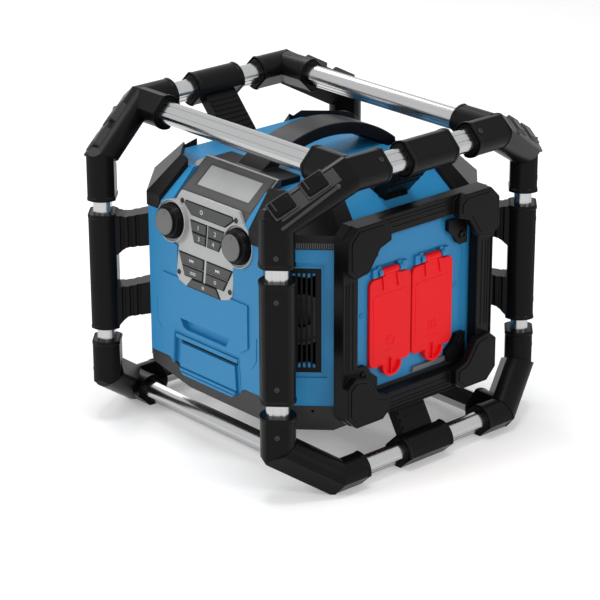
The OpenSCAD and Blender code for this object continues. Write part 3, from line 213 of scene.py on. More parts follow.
RUBBER = moulded("cage_rubber", (0.0035, 0.0035, 0.0038), 0.3, grain=0.9, depth=0.01, specular=0.09)
TRIM = moulded("black_trim", (0.0045, 0.0045, 0.005), 0.34, grain=0.9, specular=0.1)
BASE = moulded("base_trim", (0.032, 0.032, 0.033), 0.42, grain=0.9, specular=0.15)
CAP = dotted("cap_trim", (0.006, 0.006, 0.0065), 0.36, pitch_mm=1.6, depth=0.1, specular=0.14)
BLUE = moulded("housing_blue", (0.022, 0.205, 0.425), 0.38, grain=1.4, depth=0.01, specular=0.25, drift=0.03)
GRILLE = moulded("grille", (0.004, 0.004, 0.0045), 0.45, specular=0.12)
GRAPHITE = moulded("graphite", (0.055, 0.056, 0.058), 0.42, specular=0.35)
BEZEL = moulded("bezel_grey", (0.065, 0.065, 0.067), 0.35, specular=0.35)
DISC = moulded("knob_disc", (0.115, 0.116, 0.118), 0.32, specular=0.4)
SILVER = moulded("panel_silver", (0.38, 0.383, 0.387), 0.32, grain=3.0, depth=0.006, drift=0.02)
KNOB = moulded("knob", (0.004, 0.004, 0.0042), 0.3, specular=0.12)
RED = moulded("flap_red", (0.80, 0.006, 0.011), 0.36, depth=0.01, specular=0.16, drift=0.03)
STEEL = drawn_metal("steel", (0.55, 0.55, 0.56), 0.35, along=2)
SPEAKER = moulded("speaker", (0.01, 0.01, 0.0105), 0.6)
TRAY = moulded("tray", (0.03, 0.03, 0.032), 0.5)
BOARD = moulded("circuit_board", (0.015, 0.11, 0.045), 0.4)
WINDOW = moulded("window", (0.33, 0.335, 0.335), 0.25, depth=0.001, coat=0.3)
SCREW = moulded("screw_black", (0.008, 0.008, 0.0085), 0.22, specular=0.4)
# A paler copy of the black rubber: painted sheen and painted highlights for the lit flat, frames, bars and
# ridge on each neck
SHEEN_RUBBER = moulded("rubber_painted_sheen", (0.03, 0.03, 0.031), 0.36, grain=0.9, specular=0.25)
INK = moulded("ink", (0.6, 0.61, 0.62), 0.5)
RAIL_GREY = (0.46, 0.463, 0.468)
RAIL_X = drawn_metal("rail_across", RAIL_GREY, 0.2, along=0)
RAIL_Y = drawn_metal("rail_along", RAIL_GREY, 0.2, along=1)
RAIL_Z = drawn_metal("rail_upright", RAIL_GREY, 0.2, along=2)

SLOT_MATERIAL = {"cage_rubber": RUBBER, "black_trim": TRIM, "housing_blue": BLUE, "grille": GRILLE,
                 "graphite": GRAPHITE, "panel_silver": SILVER, "knob": KNOB, "flap_red": RED, "steel": STEEL,
                 "speaker": SPEAKER, "tray": TRAY, "circuit_board": BOARD, "window": WINDOW, "rail": RAIL_X}
NODE_MATERIAL = {"posts": RAIL_Z, "rails_along": RAIL_Y, "base": BASE}
NODE_MATERIAL.update({"cap_" + name: CAP for name, sx, sy in CORNERS})
node_slot = {p["node"]: p["material_slot"] for p in frame["record"]["subparts"]}
node_body = {n: b for b, nodes in frame["record"]["behaviour"]["bodies"].items() for n in nodes}
KEYS = [name for name in frame["nodes"] if "_key" in name]


def material_of(name):
    return NODE_MATERIAL.get(name, SLOT_MATERIAL[node_slot[name]])


# ---------------------------------------------------------------- mesh helpers

BEVEL_SHARES = (1, 0.75, 0.55, 0.4, 0.25, 0.15)
COVERED_MM2 = 4
GROWTH_MM = 0.1
WELD_MM = 0.005
PLANE_GAP_MM = 0.02
SAME_PLANE = 0.99998
NEAR_PLANE = 0.9999
CUT_GAP = 1e-7
SEAM_GAP = 2e-6
DISSOLVE_DEGREES = 0.6
CORNER_SHARE = 0.45
OVAL_STEPS = 14
RIM_LEN = 5.0
RIM_PROUD = 0.8
RIM_RADIUS = 0.8
RIM_FOOT = -2
RIM_STEPS = 3


def is_sound(obj):
    """Whether the rounded mesh keeps to its own outline: no spikes and no faces that cover a hole."""
    shape = obj.evaluated_get(bpy.context.evaluated_depsgraph_get())
    mesh = shape.to_mesh()
    mesh.calc_loop_triangles()
    filled = sum(t.area for t in mesh.loop_triangles)
    own = sum(p.area for p in mesh.polygons)
    grown_by = 0
    for axis in range(3):
        before = [v.co[axis] for v in obj.data.vertices]
        after = [v.co[axis] for v in mesh.vertices]
        grown_by = max(grown_by, max(after) - max(before), min(before) - min(after))
    shape.to_mesh_clear()
    return filled - own < COVERED_MM2 * MM ** 2 and grown_by < GROWTH_MM * MM


def soften(obj, width_mm, segments=2, angle=28):
    """Rounded edges that catch the light, with the flat faces kept flat."""
    for polygon in obj.data.polygons:
        polygon.use_smooth = True
    if width_mm:
        bevel = obj.modifiers.new("edges", "BEVEL")
        bevel.segments = segments
        bevel.limit_method = "ANGLE"
        bevel.angle_limit = math.radians(angle)
        bevel.use_clamp_overlap = False
        bevel.face_strength_mode = "FSTR_ALL"
        bevel.miter_outer = "MITER_ARC"
        for share in BEVEL_SHARES:
            bevel.width = width_mm * share * MM
            if is_sound(obj):
                break
    else:
        obj.data.set_sharp_from_angle(angle=math.radians(angle))
    weighted = obj.modifiers.new("normals", "WEIGHTED_NORMAL")
    weighted.keep_sharp = True
    weighted.use_face_influence = bool(width_mm)


def new_piece(name, bm, mat):
    mesh = bpy.data.meshes.new(name)
    bm.to_mesh(mesh)
    bm.free()
    mesh.materials.append(mat)
    obj = bpy.data.objects.new(name, mesh)
    scene.collection.objects.link(obj)
    return obj


def stand_for(obj, *nodes):
    """obj takes the place of CAD nodes: it rides on their body and the nodes are hidden."""
    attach(obj, node_body[nodes[0]])
    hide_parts(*nodes)


def node_mesh(name):
    """A CAD node's mesh, with the corners that coincide joined."""
    bm = bmesh.new()
    bm.from_mesh(frame["nodes"][name].data)
    bmesh.ops.remove_doubles(bm, verts=bm.verts, dist=WELD_MM * MM)
    bm.normal_update()
    return bm


def flat_region(start, seen):
    """The faces that lie in one plane with the first one and touch it or each other."""
    region = {start}
    front = [start]
    while front:
        face = front.pop()
        for edge in face.edges:
            for other in edge.link_faces:
                is_new = other not in region and other not in seen
                if is_new and other.normal.dot(start.normal) > SAME_PLANE:
                    region.add(other)
                    front.append(other)
    return region


def rim_loops(region):
    """The size and the middle of each rim of a flat region, the outer rim first."""
    rim = {e for f in region for e in f.edges if sum(g in region for g in e.link_faces) == 1}
    loops = []
    while rim:
        verts = set()
        front = [rim.pop()]
        while front:
            edge = front.pop()
            for v in edge.verts:
                verts.add(v)
                near = [e for e in v.link_edges if e in rim]
                rim.difference_update(near)
                front.extend(near)
        low = Vector([min(v.co[i] for v in verts) for i in range(3)])
        high = Vector([max(v.co[i] for v in verts) for i in range(3)])
        loops.append((high - low, (low + high) / 2))
    loops.sort(key=lambda loop: -loop[0].length)
    return loops


def long_axis(size, normal):
    """The axis along which a flat region is longest, leaving out the one that it faces."""
    return max(AXES, key=lambda axis: abs(size.dot(axis)) * (abs(axis.dot(normal)) < 0.9))


def hole_cuts(bm):
    """Where flat regions are to be cut: a region's normal, a hole's middle and the cut's own normal."""
    cuts = []
    seen = set()
    for face in bm.faces:
        if face in seen:
            continue
        region = flat_region(face, seen)
        seen |= region
        loops = rim_loops(region) if len(region) > 3 else []
        for _, middle in loops[1:]:
            cuts.append((face.normal.copy(), middle, long_axis(loops[0][0], face.normal)))
    return cuts


def cut_plane(bm, normal, middle, across):
    """Cuts the faces of one plane through a point and marks the cut as a seam."""
    faces = [f for f in bm.faces if f.normal.dot(normal) > NEAR_PLANE
             and abs((f.verts[0].co - middle).dot(normal)) < PLANE_GAP_MM * MM]
    geom = list({v for f in faces for v in f.verts}) + list({e for f in faces for e in f.edges}) + faces
    bmesh.ops.bisect_plane(bm, geom=geom, plane_co=middle, plane_no=across, dist=CUT_GAP)
    for edge in bm.edges:
        on_cut = all(abs((v.co - middle).dot(across)) < SEAM_GAP for v in edge.verts)
        if on_cut and all(f.normal.dot(normal) > NEAR_PLANE for f in edge.link_faces):
            edge.seam = True


def clean_copy(name):
    """A node's mesh with each flat region as few faces, cut through the middle of each hole."""
    bm = node_mesh(name)
    for normal, middle, across in hole_cuts(bm):
        cut_plane(bm, normal, middle, across)
    bmesh.ops.dissolve_limit(bm, angle_limit=math.radians(DISSOLVE_DEGREES), verts=bm.verts, edges=bm.edges,
                             delimit={"SEAM"})
    for edge in bm.edges:
        edge.seam = False
    return bm


def dressed(name, width_mm, segments=2, extra=None):
    """A copy of a CAD node's shape with rounded edges, and what extra adds to its mesh."""
    bm = clean_copy(name)
    if extra:
        extra(bm)
    obj = new_piece(name + "_shell", bm, material_of(name))
    soften(obj, width_mm, segments)
    stand_for(obj, name)


def axes(origin, x, y):
    """A matrix from millimetres in a local frame, with x and y as given, to metres."""
    x = Vector(x).normalized()
    z = x.cross(Vector(y)).normalized()
    y = z.cross(x)
    turn = Matrix((x, y, z)).transposed().to_4x4()
    return Matrix.Translation(Vector(origin) * MM) @ turn @ Matrix.Scale(MM, 4)


def grown(points, gap):
    """An outline, listed counter-clockwise, with every edge moved out by gap."""
    result = []
    for i, p in enumerate(points):
        a = (Vector(p) - Vector(points[i - 1])).normalized()
        b = (Vector(points[(i + 1) % len(points)]) - Vector(p)).normalized()
        before = Vector((a.y, -a.x))
        after = Vector((b.y, -b.x))
        result.append(Vector(p) + gap * (before + after) / (1 + before.dot(after)))
    return result


def counter_clockwise(points):
    """The outline, turned round where it is listed clockwise."""
    area = sum(a[0] * b[1] - a[1] * b[0] for a, b in zip(points, points[1:] + points[:1]))
    return points if area > 0 else points[::-1]


def flared(points):
    """The outline listed clockwise, so that slab's rounding leads outward instead of inward."""
    return counter_clockwise(points)[::-1]


def inside(point):
    """The point, brought back to the CAD model's box where it lies just outside."""
    return Vector([min(max(c, low), high) for c, low, high in zip(point, *cad_box)])


def ring(bm, place, outline, z):
    return [bm.verts.new(inside(place @ Vector((p[0], p[1], z)))) for p in outline]


def bridge(bm, a, b):
    for i in range(len(a)):
        j = (i + 1) % len(a)
        bm.faces.new((a[i], a[j], b[j], b[i]))


def cap_off(bm, *rings):
    """Fills a flat face between an outer ring and its holes."""
    edges = []
    for one in rings:
        for i in range(len(one)):
            pair = (one[i], one[(i + 1) % len(one)])
            edges.append(bm.edges.get(pair) or bm.edges.new(pair))
    bmesh.ops.triangle_fill(bm, use_beauty=True, use_dissolve=False, edges=edges)


def slab(bm, place, outline, low, high, radius, holes=(), steps=2):
    """A plate over an outline, closed all round, with rounded upper edges."""
    def wall(points, sense):
        rings = [ring(bm, place, points, low), ring(bm, place, points, high - radius)]
        for step in range(1, steps + 1):
            turn = step / steps * math.pi / 2
            inset = radius * (1 - math.cos(turn))
            level = high - radius + radius * math.sin(turn)
            rings.append(ring(bm, place, grown(points, -sense * inset), level))
        for a, b in zip(rings, rings[1:]):
            bridge(bm, a, b)
        return rings
    walls = [wall(outline, 1)] + [wall(hole, -1) for hole in holes]
    cap_off(bm, *[w[-1] for w in walls])
    cap_off(bm, *[w[0] for w in walls])


def finish_normals(bm):
    bmesh.ops.recalc_face_normals(bm, faces=bm.faces)


def box_outline(x0, y0, x1, y1):
    return [(x0, y0), (x1, y0), (x1, y1), (x0, y1)]


def rounded(outline, radius, steps=4):
    """An outline with its corners rounded."""
    result = []
    for i, p in enumerate(outline):
        p = Vector(p)
        a = Vector(outline[i - 1]) - p
        b = Vector(outline[(i + 1) % len(outline)]) - p
        half = a.angle(b) / 2
        reach = min(radius / math.tan(half), CORNER_SHARE * a.length, CORNER_SHARE * b.length)
        start = p + a.normalized() * reach
        end = p + b.normalized() * reach
        for step in range(steps + 1):
            t = step / steps
            result.append(start * (1 - t) ** 2 + p * 2 * t * (1 - t) + end * t ** 2)
    return result


def turns(count):
    """The angles of so many points, evenly round a circle."""
    return [2 * math.pi * i / count for i in range(count)]


def around(radius, turn, height):
    """A point at a distance from the local frame's z axis."""
    return Vector((radius * math.cos(turn), radius * math.sin(turn), height))


def disc(radius, count, x=0, y=0):
    return [(x + radius * math.cos(t), y + radius * math.sin(t)) for t in turns(count)]


def arc(radius, start, end, x, y, count):
    """Points along a part of a circle, from one angle to another in degrees."""
    angles = [math.radians(start + (end - start) * i / count) for i in range(count + 1)]
    return [(x + radius * math.cos(t), y + radius * math.sin(t)) for t in angles]


def arc_band(radius, width, start, end, x, y, count=14):
    """The outline of a part of a ring."""
    return arc(radius, start, end, x, y, count) + arc(radius - width, start, end, x, y, count)[::-1]


def oval(w, t):
    """The outline of a round bar of diameter w with two flats t apart, counter-clockwise."""
    limit = math.asin(t / w)
    points = []
    for side in (0, math.pi):
        for step in range(OVAL_STEPS + 1):
            turn = side - limit + 2 * limit * step / OVAL_STEPS
            points.append((w / 2 * math.cos(turn), w / 2 * math.sin(turn)))
    return points


def rim_profile():
    """A sleeve rim's (distance from the sleeve's end, height) profile."""
    base = RIM_PROUD - RIM_RADIUS
    near = []
    for step in range(1, RIM_STEPS + 1):
        turn = step / RIM_STEPS * math.pi / 2
        near.append((RIM_RADIUS * (1 - math.cos(turn)), base + RIM_RADIUS * math.sin(turn)))
    far = [(RIM_LEN - RIM_RADIUS - along, height) for along, height in reversed(near)]
    return [(0, RIM_FOOT), (0, base)] + near + far + [(RIM_LEN, base), (RIM_LEN, RIM_FOOT)]


def band(bm, end, run, out):
    """A rounded rim round a sleeve, from its end back along run."""
    run = Vector(run).normalized()
    y = Vector(out) - Vector(out).dot(run) * run
    place = axes(end, y.cross(run), y)
    sense = 1 if (place.to_3x3() @ UP).dot(run) > 0 else -1
    base = oval(SLEEVE_W, SLEEVE_T)
    rings = [ring(bm, place, grown(base, height), sense * along) for along, height in rim_profile()]
    for a, b in zip(rings, rings[1:] + rings[:1]):
        bridge(bm, a, b)


def detail(name, bm, mat, body="radio"):
    """A new piece that rides on a body and adds to what the CAD model shows."""
    finish_normals(bm)
    obj = new_piece(name, bm, mat)
    soften(obj, 0)
    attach(obj, body)


# ---------------------------------------------------------------- camera and light

CAMERA_PLACE = (2.0324, -1.8377, 1.2146)
CAMERA_AZIMUTH = math.radians(48.22)
CAMERA_ELEVATION = math.radians(21.35)
CAMERA_ROLL = math.radians(-0.19)
CAMERA_LENS = 149.09
WORLD_ON_OBJECT = 0.5
WORLD_SEEN = 1.0
FLOOR_GLOW = 0.22
FLOOR_HALF = 8
# Each square lamp's name, place in metres, side in metres and power in watts
LAMPS = (("key", (-0.8, -2.6, 1.9), 0.7, 29),
         ("top", (0.1, -0.1, 2.6), 1.0, 28),
         ("side", (2.6, 0.3, 1.4), 0.6, 15),
         ("fill", (1.9, -2.1, 0.9), 1.0, 11),
         ("rim", (-1.9, 0.7, 1.7), 0.9, 11))


def build_camera():
    """The photo's camera, as it was solved from the cage's rails."""
    level = math.cos(CAMERA_ELEVATION)
    back = Vector((math.sin(CAMERA_AZIMUTH) * level, -math.cos(CAMERA_AZIMUTH) * level,
                   math.sin(CAMERA_ELEVATION)))
    right = UP.cross(back).normalized()
    up = back.cross(right)
    rolled_right = right * math.cos(CAMERA_ROLL) + up * math.sin(CAMERA_ROLL)
    rolled_up = up * math.cos(CAMERA_ROLL) - right * math.sin(CAMERA_ROLL)
    data = bpy.data.cameras.new("camera")
    data.sensor_width = 36
    data.lens = CAMERA_LENS
    data.clip_end = 50
    camera = bpy.data.objects.new("camera", data)
    rotation = Matrix((rolled_right, rolled_up, back)).transposed().to_4x4()
    camera.matrix_world = Matrix.Translation(CAMERA_PLACE) @ rotation
    scene.collection.objects.link(camera)
    scene.camera = camera


def area_light(name, place, side, power):
    """A square lamp that looks at the middle of the body."""
    data = bpy.data.lights.new(name, "AREA")
    data.shape = "RECTANGLE"
    data.size = side
    data.size_y = side
    data.energy = power
    lamp = bpy.data.objects.new(name, data)
    lamp.location = place
    lamp.rotation_euler = (Vector(place) - BODY_MIDDLE).to_track_quat("Z", "Y").to_euler()
    scene.collection.objects.link(lamp)


def seen_ray(tree):
    """1 for what the camera, a reflection or clear plastic shows, and 0 for the light on the object."""
    path = tree.nodes.new("ShaderNodeLightPath")
    total = path.outputs["Is Camera Ray"]
    for name in ("Is Glossy Ray", "Is Transmission Ray"):
        add = tree.nodes.new("ShaderNodeMath")
        add.operation = "MAXIMUM"
        tree.links.new(total, add.inputs[0])
        tree.links.new(path.outputs[name], add.inputs[1])
        total = add.outputs["Value"]
    return total


def build_light():
    """A white world, dimmer as a light than it looks, and the lamps."""
    scene.view_settings.view_transform = "Standard"
    world = bpy.data.worlds.new("studio")
    world.use_nodes = True
    scene.world = world
    tree = world.node_tree
    background = tree.nodes["Background"]
    background.inputs["Color"].default_value = (1, 1, 1, 1)
    strength = tree.nodes.new("ShaderNodeMapRange")
    strength.inputs["To Min"].default_value = WORLD_ON_OBJECT
    strength.inputs["To Max"].default_value = WORLD_SEEN
    tree.links.new(seen_ray(tree), strength.inputs["Value"])
    tree.links.new(strength.outputs["Result"], background.inputs["Strength"])
    for lamp in LAMPS:
        area_light(*lamp)


def build_floor():
    """A white floor that glows a little where it is seen, as the photo's white ground does."""
    bm = bmesh.new()
    bmesh.ops.create_grid(bm, x_segments=1, y_segments=1, size=FLOOR_HALF)
    m = material("floor", (0.86, 0.86, 0.86), 0.9, specular=0.1)
    shader = m.node_tree.nodes["Principled BSDF"]
    glow = node(m, "MapRange")
    glow.inputs["To Min"].default_value = 0.0
    glow.inputs["To Max"].default_value = FLOOR_GLOW
    link(m, seen_ray(m.node_tree), glow.inputs["Value"])
    shader.inputs["Emission Color"].default_value = (1, 1, 1, 1)
    link(m, glow.outputs["Result"], shader.inputs["Emission Strength"])
    floor = new_piece("floor", bm, m)


# ---------------------------------------------------------------- the cage

CAGE_EDGE = 0.9


def rims_of_corner(node_place, post_place, reach, up, sx, sy):
    """What adds a rounded rim at the end of each of a corner's three collars."""
    def build(bm):
        mirror = Matrix.Diagonal((sx, sy, 1))
        for axis, sign in ((0, -1), (1, -1), (2, -up)):
            run = Vector((0, 0, 0))
            run[axis] = sign
            start = post_place if axis == 2 else node_place
            out = ((0, 1, up), (1, 0, up), (1, 1, 0))[axis]
            end = start + run * reach[axis]
            band(bm, mirror @ end, mirror @ -run, mirror @ Vector(out))
        finish_normals(bm)
    return build


def rims_of_sleeve(ends, out):
    """What adds a rounded rim at each of a sleeve's ends."""
    def build(bm):
        for end, run in ends:
            band(bm, end, run, out)
        finish_normals(bm)
    return build


def build_cage():
    for name, sx, sy in CORNERS:
        rims = rims_of_corner(TOP_NODE, SHOULDER, TOP_COLLAR, 1, sx, sy)
        dressed("corner_top_" + name, CAGE_EDGE, 3, rims)
        rims = rims_of_corner(LOW_NODE, KNEE, LOW_COLLAR, -1, sx, sy)
        dressed("corner_low_" + name, CAGE_EDGE, 3, rims)
        ends = [(Vector((sx * KNEE.x, sy * KNEE.y, z)), run) for z, run in zip(POST_SLEEVE, (UP, -UP))]
        dressed("post_sleeve_" + name, CAGE_EDGE, 3, rims_of_sleeve(ends, (sx, sy, 0)))
    for level, place, up in (("top", TOP_NODE, 1), ("low", LOW_NODE, -1)):
        for name, sx in (("left", -1), ("right", 1)):
            ends = [(Vector((sx * place.x, s * BRACKET_HALF, place.z)), Vector((0, -s, 0))) for s in (-1, 1)]
            dressed(f"bracket_{level}_{name}", CAGE_EDGE, 3, rims_of_sleeve(ends, (sx, 0, up)))
    for name in ("rails_across", "rails_along", "posts"):
        dressed(name, 0)


# ---------------------------------------------------------------- screws

HEAD_RADIUS = 3.1
HEAD_HEIGHT = 0.75
HEAD_EDGE = 0.3
RECESS_RADIUS = 1.5
RECESS_FLOOR = 0.1
STAR_DEPTH = 0.18
STAR_COUNT = 36
CAP_AREA = 20e-6


def take_island(left):
    """One set of faces that hang together, taken out of those that are left."""
    front = [left.pop()]
    faces = set(front)
    while front:
        for edge in front.pop().edges:
            for other in edge.link_faces:
                if other in left:
                    left.discard(other)
                    faces.add(other)
                    front.append(other)
    return faces


def flat_area(faces, normal):
    """The area of the faces that look one way."""
    return sum(f.calc_area() for f in faces if f.normal.dot(normal) > 0.999)


def outward(faces, middle):
    """The normal of the flat end of a screw that looks away from the body."""
    return next(f.normal.copy() for f in faces if f.normal.dot(middle - BODY_MIDDLE) > 0
                and flat_area(faces, f.normal) > CAP_AREA)


def islands(name):
    """The foot's middle and the outward axis of each separate solid of a node."""
    bm = node_mesh(name)
    left = set(bm.faces)
    found = []
    while left:
        faces = take_island(left)
        verts = {v for f in faces for v in f.verts}
        middle = sum((v.co for v in verts), Vector()) / len(verts)
        normal = outward(faces, middle)
        foot = min(v.co.dot(normal) for v in verts)
        found.append((middle + normal * (foot - middle.dot(normal)), normal))
    bm.free()
    found.sort(key=lambda item: tuple(round(v, 5) for v in item[0]))
    return found


def star(radius):
    """The outline of a six-lobed screw recess."""
    points = []
    for t in turns(STAR_COUNT):
        reach = radius * (1 + STAR_DEPTH * math.cos(6 * t))
        points.append((reach * math.cos(t), reach * math.sin(t)))
    return points


def build_screws():
    """A head with a recess in place of each screw, and a floor in the recess."""
    bm = bmesh.new()
    for middle, normal in islands("screws"):
        side = normal.cross(UP) if abs(normal.z) < 0.9 else AXES[0]
        place = axes(middle / MM, side, normal.cross(side))
        slab(bm, place, disc(HEAD_RADIUS, 36), 0, HEAD_HEIGHT, HEAD_EDGE, holes=[star(RECESS_RADIUS)])
        slab(bm, place, disc(2.0, 24), -0.2, RECESS_FLOOR, 0.05)
    finish_normals(bm)
    obj = new_piece("screw_heads", bm, SCREW)
    soften(obj, 0, angle=40)
    stand_for(obj, "screws")


# ---------------------------------------------------------------- local frames

def lie(p, q, out):
    """A frame along a bar: x along it, y across it and z out of it."""
    run = (Vector(q) - Vector(p)).normalized()
    y = (Vector(out) - Vector(out).dot(run) * run).normalized()
    return axes(p, run, y.cross(run))


def at_corner(sx, sy):
    return Matrix.Diagonal((sx, sy, 1, 1))


PANEL_RUN = Vector((0, math.sin(PANEL_LEAN), math.cos(PANEL_LEAN)))
PANEL = axes(PANEL_FOOT + PANEL_RISE * PANEL_RUN, (1, 0, 0), PANEL_RUN)
FRONT = axes((0, -HALF_D, BODY_LOW), (1, 0, 0), UP)
SIDE = axes((HALF_W, 0, 0), (0, 1, 0), UP)
LEFT = axes((-HALF_W, 0, 0), (0, -1, 0), UP)
REAR = axes((0, HALF_D, 0), (-1, 0, 0), UP)
HOOD_LEN = (HOOD_TOP - LIP).length
HOOD = axes(LIP, (1, 0, 0), HOOD_TOP - LIP)
DOME_START = 0.3


def chamfer(sx, sy):
    """The frame of one of the housing's corner faces, at height 0."""
    return axes((sx * (HALF_W - CHAMFER / 2), sy * (HALF_D - CHAMFER / 2), 0), (-sy, sx, 0), UP)


def rod(bm, place, a, b, radius, count=12, steps=3):
    """A round bar with round ends."""
    a = Vector(a)
    b = Vector(b)
    run = (b - a).normalized()
    side = run.orthogonal().normalized()
    other = run.cross(side)
    dome = [math.pi / 2 * (i + DOME_START) / (steps + DOME_START) for i in range(steps + 1)]
    stops = [(a, -math.cos(t), math.sin(t)) for t in dome]
    stops += [(b, math.cos(t), math.sin(t)) for t in reversed(dome)]
    rings = []
    for middle, lift, wide in stops:
        centre = middle + run * lift * radius
        points = [centre + radius * wide * (math.cos(t) * side + math.sin(t) * other) for t in turns(count)]
        rings.append([bm.verts.new(inside(place @ p)) for p in points])
    for low, high in zip(rings, rings[1:]):
        bridge(bm, low, high)
    bm.faces.new(rings[0])
    bm.faces.new(rings[-1])


def lathe(bm, place, profile, count=48):
    """A turned shape from its (radius, height) profile, closed by a flat at each end."""
    rings = [[bm.verts.new(place @ around(r, t, h)) for t in turns(count)] for r, h in profile]
    for low, high in zip(rings, rings[1:]):
        bridge(bm, low, high)
    bm.faces.new(rings[0])
    bm.faces.new(rings[-1])


def write(bm, place, text, size, x, y, z):
    """A plain number, a little proud of a key."""
    curve = bpy.data.curves.new("number", "FONT")
    curve.body = text
    curve.size = size
    curve.align_x = "CENTER"
    curve.align_y = "CENTER"
    curve.extrude = 0.08
    holder = bpy.data.objects.new("number", curve)
    mesh = holder.to_mesh().copy()
    mesh.transform(place @ Matrix.Translation((x, y, z)))
    bm.from_mesh(mesh)
    bpy.data.objects.remove(holder)
    bpy.data.meshes.remove(mesh)


# ---------------------------------------------------------------- details of the cage

NECK_OUT = (1, 1, 1.2)
NECK_TOP = SLEEVE_T / 2
PAD_STARTS = (0.26, 0.71)
PAD_LEN = 29
PAD_TOP = NECK_TOP + 2.4
RIB_PITCH = 6.5
RIB_HALF = 1.6
RIB_INSET = 1.5


def neck_details(name, sx, sy):
    """The neck's two pads, a frame and a short bar for each, a flat under them and a ridge beside them; the
    frames, bars, flat and ridge are a paler rubber that paints the sheen and highlights of light falling on
    the neck.
    """
    place = at_corner(sx, sy) @ lie(TOP_NODE, SHOULDER, NECK_OUT)
    length = (SHOULDER - TOP_NODE).length
    starts = [share * length for share in PAD_STARTS]
    bm = bmesh.new()
    for start in starts:
        end = start + PAD_LEN
        edge = box_outline(start - 0.3, -5.6, end + 0.3, 17.4)
        slab(bm, place, rounded(edge, 2), 11, PAD_TOP + 0.5, 0.5, holes=[rounded(grown(edge, -1.6), 3)])
        slab(bm, place, box_outline(end - 7, 4, end - 5.6, 15.5), 15, PAD_TOP + 1.3, 0.5)
    flat = [(12, -7), (length - 3, -9), (length - 3, 10.5), (12, 10.5)]
    slab(bm, place, flat, 14, NECK_TOP + 1.3, 0.6)
    rod(bm, place, (19, -10.5, 16.2), (length + 1, -14.5, 14.8), 1.9)
    rod(bm, place, (19, -10.3, 16.6), (20.5, -10.4, 16.6), 2.8)
    # Paler rubber here is painted sheen and painted highlight, not a different rubber
    detail("neck_sheen_" + name, bm, SHEEN_RUBBER)
    bm = bmesh.new()
    for start in starts:
        pad = box_outline(start + 3.5, -2, start + PAD_LEN - 3.5, 14)
        slab(bm, place, rounded(pad, 3), 15, PAD_TOP + 0.9, 0.6)
    detail("neck_pads_" + name, bm, RUBBER)


def crossings(points, y):
    """Where an outline's edges cross a line of constant y."""
    return [a.x + (b.x - a.x) * (y - a.y) / (b.y - a.y)
            for a, b in zip(points, points[1:] + points[:1]) if (a.y - y) * (b.y - y) < 0]


def arm_ribs(name, sx):
    """Ribs across the face of a bracket's arm that looks up at the body."""
    copy = clean_copy(name)
    looks_in = [f for f in copy.faces if f.normal.x * sx < -0.2 and f.normal.z > 0.2]
    face = max(looks_in, key=lambda f: f.calc_area())
    place = axes(face.calc_center_median() / MM, AXES[1], face.normal.cross(AXES[1]))
    points = [(place.inverted() @ v.co).to_2d() for v in face.verts]
    copy.free()
    low = min(p.y for p in points)
    high = max(p.y for p in points)
    bm = bmesh.new()
    for step in range(int((high - low - 8) / RIB_PITCH) + 1):
        y = low + 5 + step * RIB_PITCH
        across = crossings(points, y)
        rib = box_outline(min(across) + RIB_INSET, y - RIB_HALF, max(across) - RIB_INSET, y + RIB_HALF)
        slab(bm, place, rounded(rib, 1.2), -1, 1.1, 0.9, steps=3)
    detail(name + "_ribs", bm, RUBBER)


# ---------------------------------------------------------------- control panel

KEY_TOP = 1.6
SIGN_PROUD = 0.12
NUMBER_SIZE = 7.5
PRESETS = {"1": (-14.8, 1.5), "2": (14.8, 1.5), "3": (-12.6, -11), "4": (12.6, -11)}
GAP_INNER = 0.45
# How far the painted shade round each key reaches
GAP_SHADE_OUTER = 1.25
KNOB_DISC = [(15.1, 13), (15.1, 16.1), (14.8, 16.5), (14.3, 16.6), (13.6, 16.3), (13.2, 16.2), (12.6, 16.35),
             (1, 16.5)]
GRIP_COUNT = 40
GRIP_RADIUS = 0.5


def key_sign(key, outlines, number=None):
    """A sign on one key, which travels with it."""
    bm = bmesh.new()
    for outline in outlines:
        slab(bm, PANEL, outline, KEY_TOP - 0.3, KEY_TOP + SIGN_PROUD, 0.05)
    if number:
        write(bm, PANEL, number, NUMBER_SIZE, *PRESETS[number], KEY_TOP + 0.1)
    detail(key + "_sign", bm, INK, node_body[key])


def key_outline(name):
    """The outline of a key's top, counter-clockwise in the panel's frame."""
    bm = clean_copy(name)
    out = (PANEL.to_3x3() @ UP).normalized()
    top = max((f for f in bm.faces if f.normal.dot(out) > 0.99), key=lambda f: f.calc_area())
    points = [(PANEL.inverted() @ v.co).to_2d() for v in top.verts]
    bm.free()
    return points


def build_key_gap_shade():
    """A dark ring on the panel round each key, clear of the key itself: painted shade standing in for the
    shadow in the gap round the key.
    """
    bm = bmesh.new()
    for name in KEYS:
        outline = key_outline(name)
        slab(bm, PANEL, grown(outline, GAP_SHADE_OUTER), -0.5, 0.25, 0.1, holes=[grown(outline, GAP_INNER)])
    # Black ring in the grille's material: painted shade in the gaps round the keys
    detail("key_gap_shade", bm, GRILLE)


def arrow(x, y, side):
    """Two triangles and a bar, for the next or the last track."""
    signs = []
    for step in (-2.2, 1.0):
        foot = x + side * (step - 1.5)
        tip = x + side * (step + 1.5)
        signs.append(counter_clockwise([(foot, y - 1.9), (tip, y), (foot, y + 1.9)]))
    bar = x + side * 3.1
    return signs + [box_outline(bar - 0.45, y - 1.9, bar + 0.45, y + 1.9)]


def build_knob(name, side):
    """A knob with a turned disc, a mark on the disc and ridges round the skirt."""
    place = PANEL @ Matrix.Translation((side * KNOB_X, 0, 0))
    dressed(name, 0.8, 3)
    bm = bmesh.new()
    lathe(bm, place, KNOB_DISC)
    slab(bm, place, rounded(box_outline(-0.8, 8.2, 0.8, 12.4), 0.6), 16, 16.9, 0.2)
    detail(name + "_disc", bm, DISC, node_body[name])
    bm = bmesh.new()
    for turn in turns(GRIP_COUNT):
        rod(bm, place, around(20.9, turn, 4.2), around(18.9, turn, 11.6), GRIP_RADIUS, 6, 1)
    detail(name + "_grip", bm, KNOB, node_body[name])


